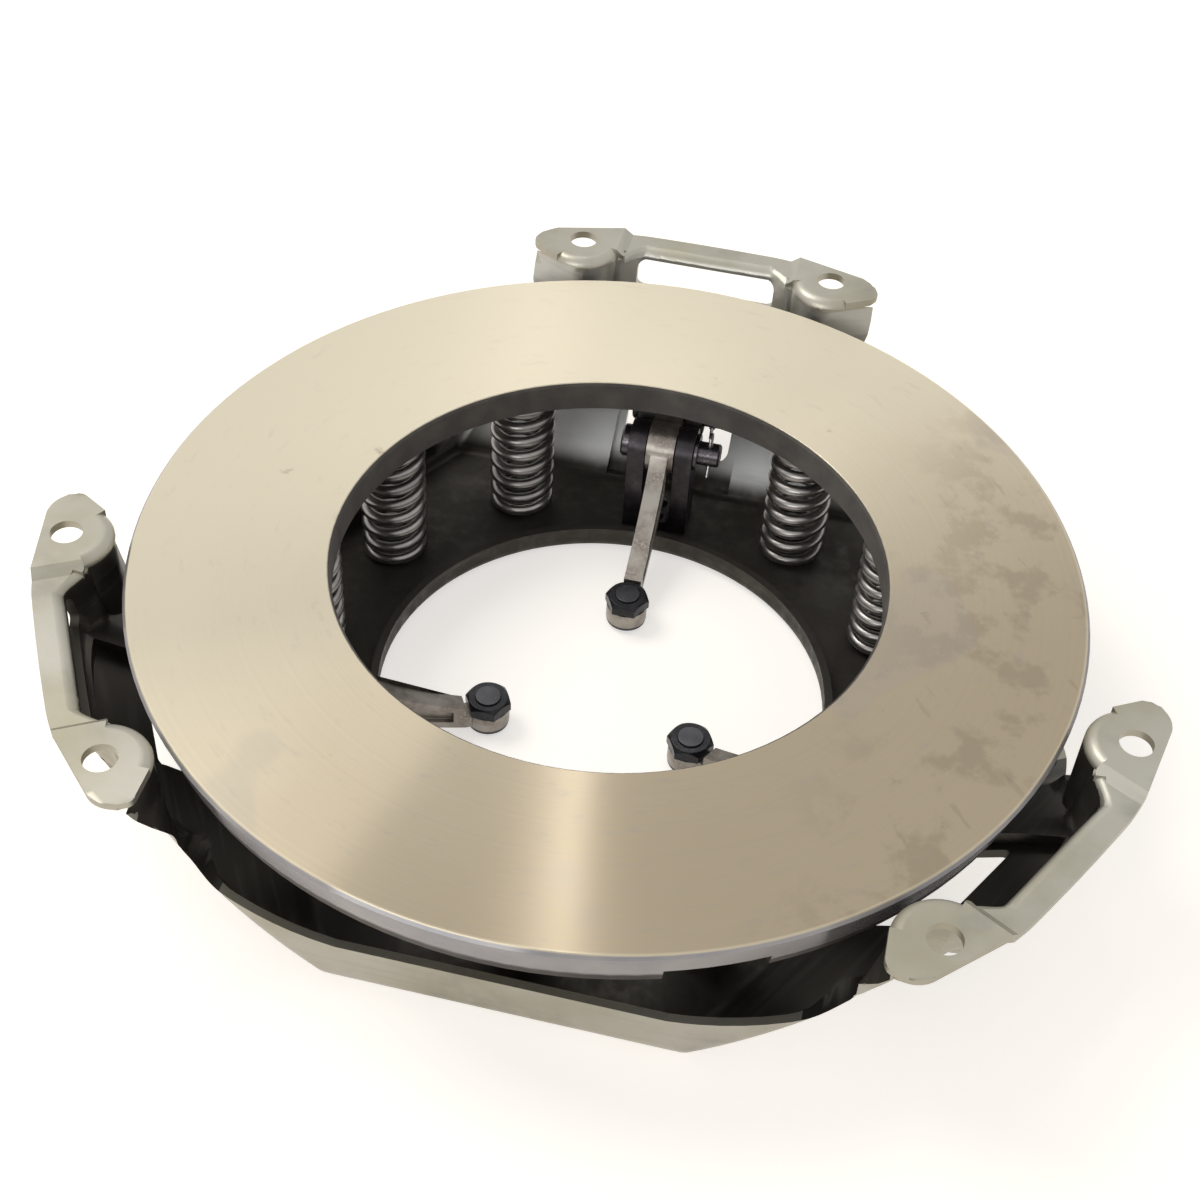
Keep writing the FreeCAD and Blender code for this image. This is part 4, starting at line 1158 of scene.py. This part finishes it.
@dataclass
class Studio:
    """The pale floor, the soft light, the white surround and the camera."""

    floor_size: float = 6.0
    floor_colour: Colour = (0.80, 0.73, 0.65)
    floor_glow: float = 0.60
    glow_tint: Colour = (1.0, 0.99, 0.975)
    surround: float = 0.42
    lamps: tuple[Lamp, ...] = (
        Lamp("key", (-1.30, 0.35, 1.80), (1.1, 1.1), 19.0, (1.0, 0.98, 0.95)),
        Lamp("fill", (-0.35, -1.00, 0.38), (0.7, 0.4), 3.0, (0.96, 0.98, 1.0)),
        Lamp("strip", (-0.16, 0.737, 1.10), (0.02, 0.5), 0.45, (1.0, 0.99, 0.97)),
    )
    camera_place: Place = (0.0700, -0.3869, 0.3671)
    camera_right: Place = (0.9732, 0.2257, 0.0438)
    camera_up: Place = (-0.1895, 0.6796, 0.7086)
    lens: float = 55.30
    sensor: float = 36.0

    def floor(self, height: float) -> None:
        """Lay the floor that the cover's back rests on.

        Args:
            height: The floor's height.
        """
        half = self.floor_size / 2
        mesh = bpy.data.meshes.new("floor")
        corners = [(x * half, y * half, height) for x, y in ((-1, -1), (1, -1), (1, 1), (-1, 1))]
        mesh.from_pydata(corners, [], [(0, 1, 2, 3)])
        graph = Graph(self.blank_material("floor_paper", mesh))
        paper = graph.node("ShaderNodeBsdfDiffuse", None, {"Color": (*self.floor_colour, 1.0)})
        seen = self.seen_directly(graph)
        glow = graph.node("ShaderNodeEmission", None,
                          {"Color": (*self.glow_tint, 1.0), "Strength": seen * self.floor_glow})
        both = graph.node("ShaderNodeAddShader", None, {0: paper.outputs[0], 1: glow.outputs[0]})
        output = graph.node("ShaderNodeOutputMaterial")
        graph.tree.links.new(both.outputs[0], output.inputs[0])
        piece = bpy.data.objects.new("floor", mesh)
        bpy.context.scene.collection.objects.link(piece)
        piece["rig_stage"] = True

    @staticmethod
    def blank_material(name: str, mesh: bpy.types.Mesh) -> bpy.types.NodeTree:
        """Add an empty material to a mesh and return its tree."""
        material = bpy.data.materials.new(name)
        material.use_nodes = True
        mesh.materials.append(material)
        return material.node_tree

    @staticmethod
    def seen_directly(graph: Graph) -> Value:
        """1 for rays from the camera and for mirror and see-through rays, otherwise 0."""
        path = graph.node("ShaderNodeLightPath")
        camera = Value(graph, path.outputs["Is Camera Ray"])
        glossy = Value(graph, path.outputs["Is Glossy Ray"])
        through = Value(graph, path.outputs["Is Transmission Ray"])
        return camera.most(glossy).most(through)

    def world(self) -> None:
        """Set the white surround, dimmer as a light than as a background."""
        world = bpy.data.worlds.new("surround")
        world.use_nodes = True
        bpy.context.scene.world = world
        graph = Graph(world.node_tree)
        strength = self.seen_directly(graph) * (1.0 - self.surround) + self.surround
        back = graph.node("ShaderNodeBackground", None,
                          {"Color": (1.0, 1.0, 1.0, 1.0), "Strength": strength})
        output = graph.node("ShaderNodeOutputWorld")
        graph.tree.links.new(back.outputs[0], output.inputs[0])

    def camera(self) -> None:
        """Place the camera as the photograph was taken."""
        data = bpy.data.cameras.new("photo_view")
        data.lens = self.lens
        data.sensor_width = self.sensor
        data.sensor_fit = "HORIZONTAL"
        right = Vector(self.camera_right).normalized()
        up = Vector(self.camera_up)
        up = (up - right * up.dot(right)).normalized()
        turn = Matrix((right, up, right.cross(up))).transposed().to_4x4()
        camera = bpy.data.objects.new("photo_view", data)
        camera.matrix_world = Matrix.Translation(self.camera_place) @ turn
        bpy.context.scene.collection.objects.link(camera)
        bpy.context.scene.camera = camera

    def set_up(self, floor_height: float) -> None:
        """Build the whole studio.

        Args:
            floor_height: The height of the surface that the object lies on.
        """
        self.floor(floor_height)
        self.world()
        for lamp in self.lamps:
            lamp.hang()
        self.camera()
        bpy.context.scene.view_settings.view_transform = "Standard"


def as_lists(box: Any) -> list[list[float]]:
    """A box's two corners as plain lists of numbers."""
    return [[float(number) for number in corner] for corner in box]


def main() -> None:
    """Dress every piece and set up the studio, with the floor at the object's lowest point."""
    logging.basicConfig(level=logging.INFO, format="%(message)s")
    cad_box = as_lists(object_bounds())
    refiner = Refiner()
    Cover().dress(refiner)
    Ring().dress(refiner)
    Levers().dress(refiner)
    Springs().wind(refiner.materials[Finish.SPRING])
    Studio().set_up(cad_box[0][2])
    bpy.context.view_layer.update()


if __name__ == "__main__":
    main()
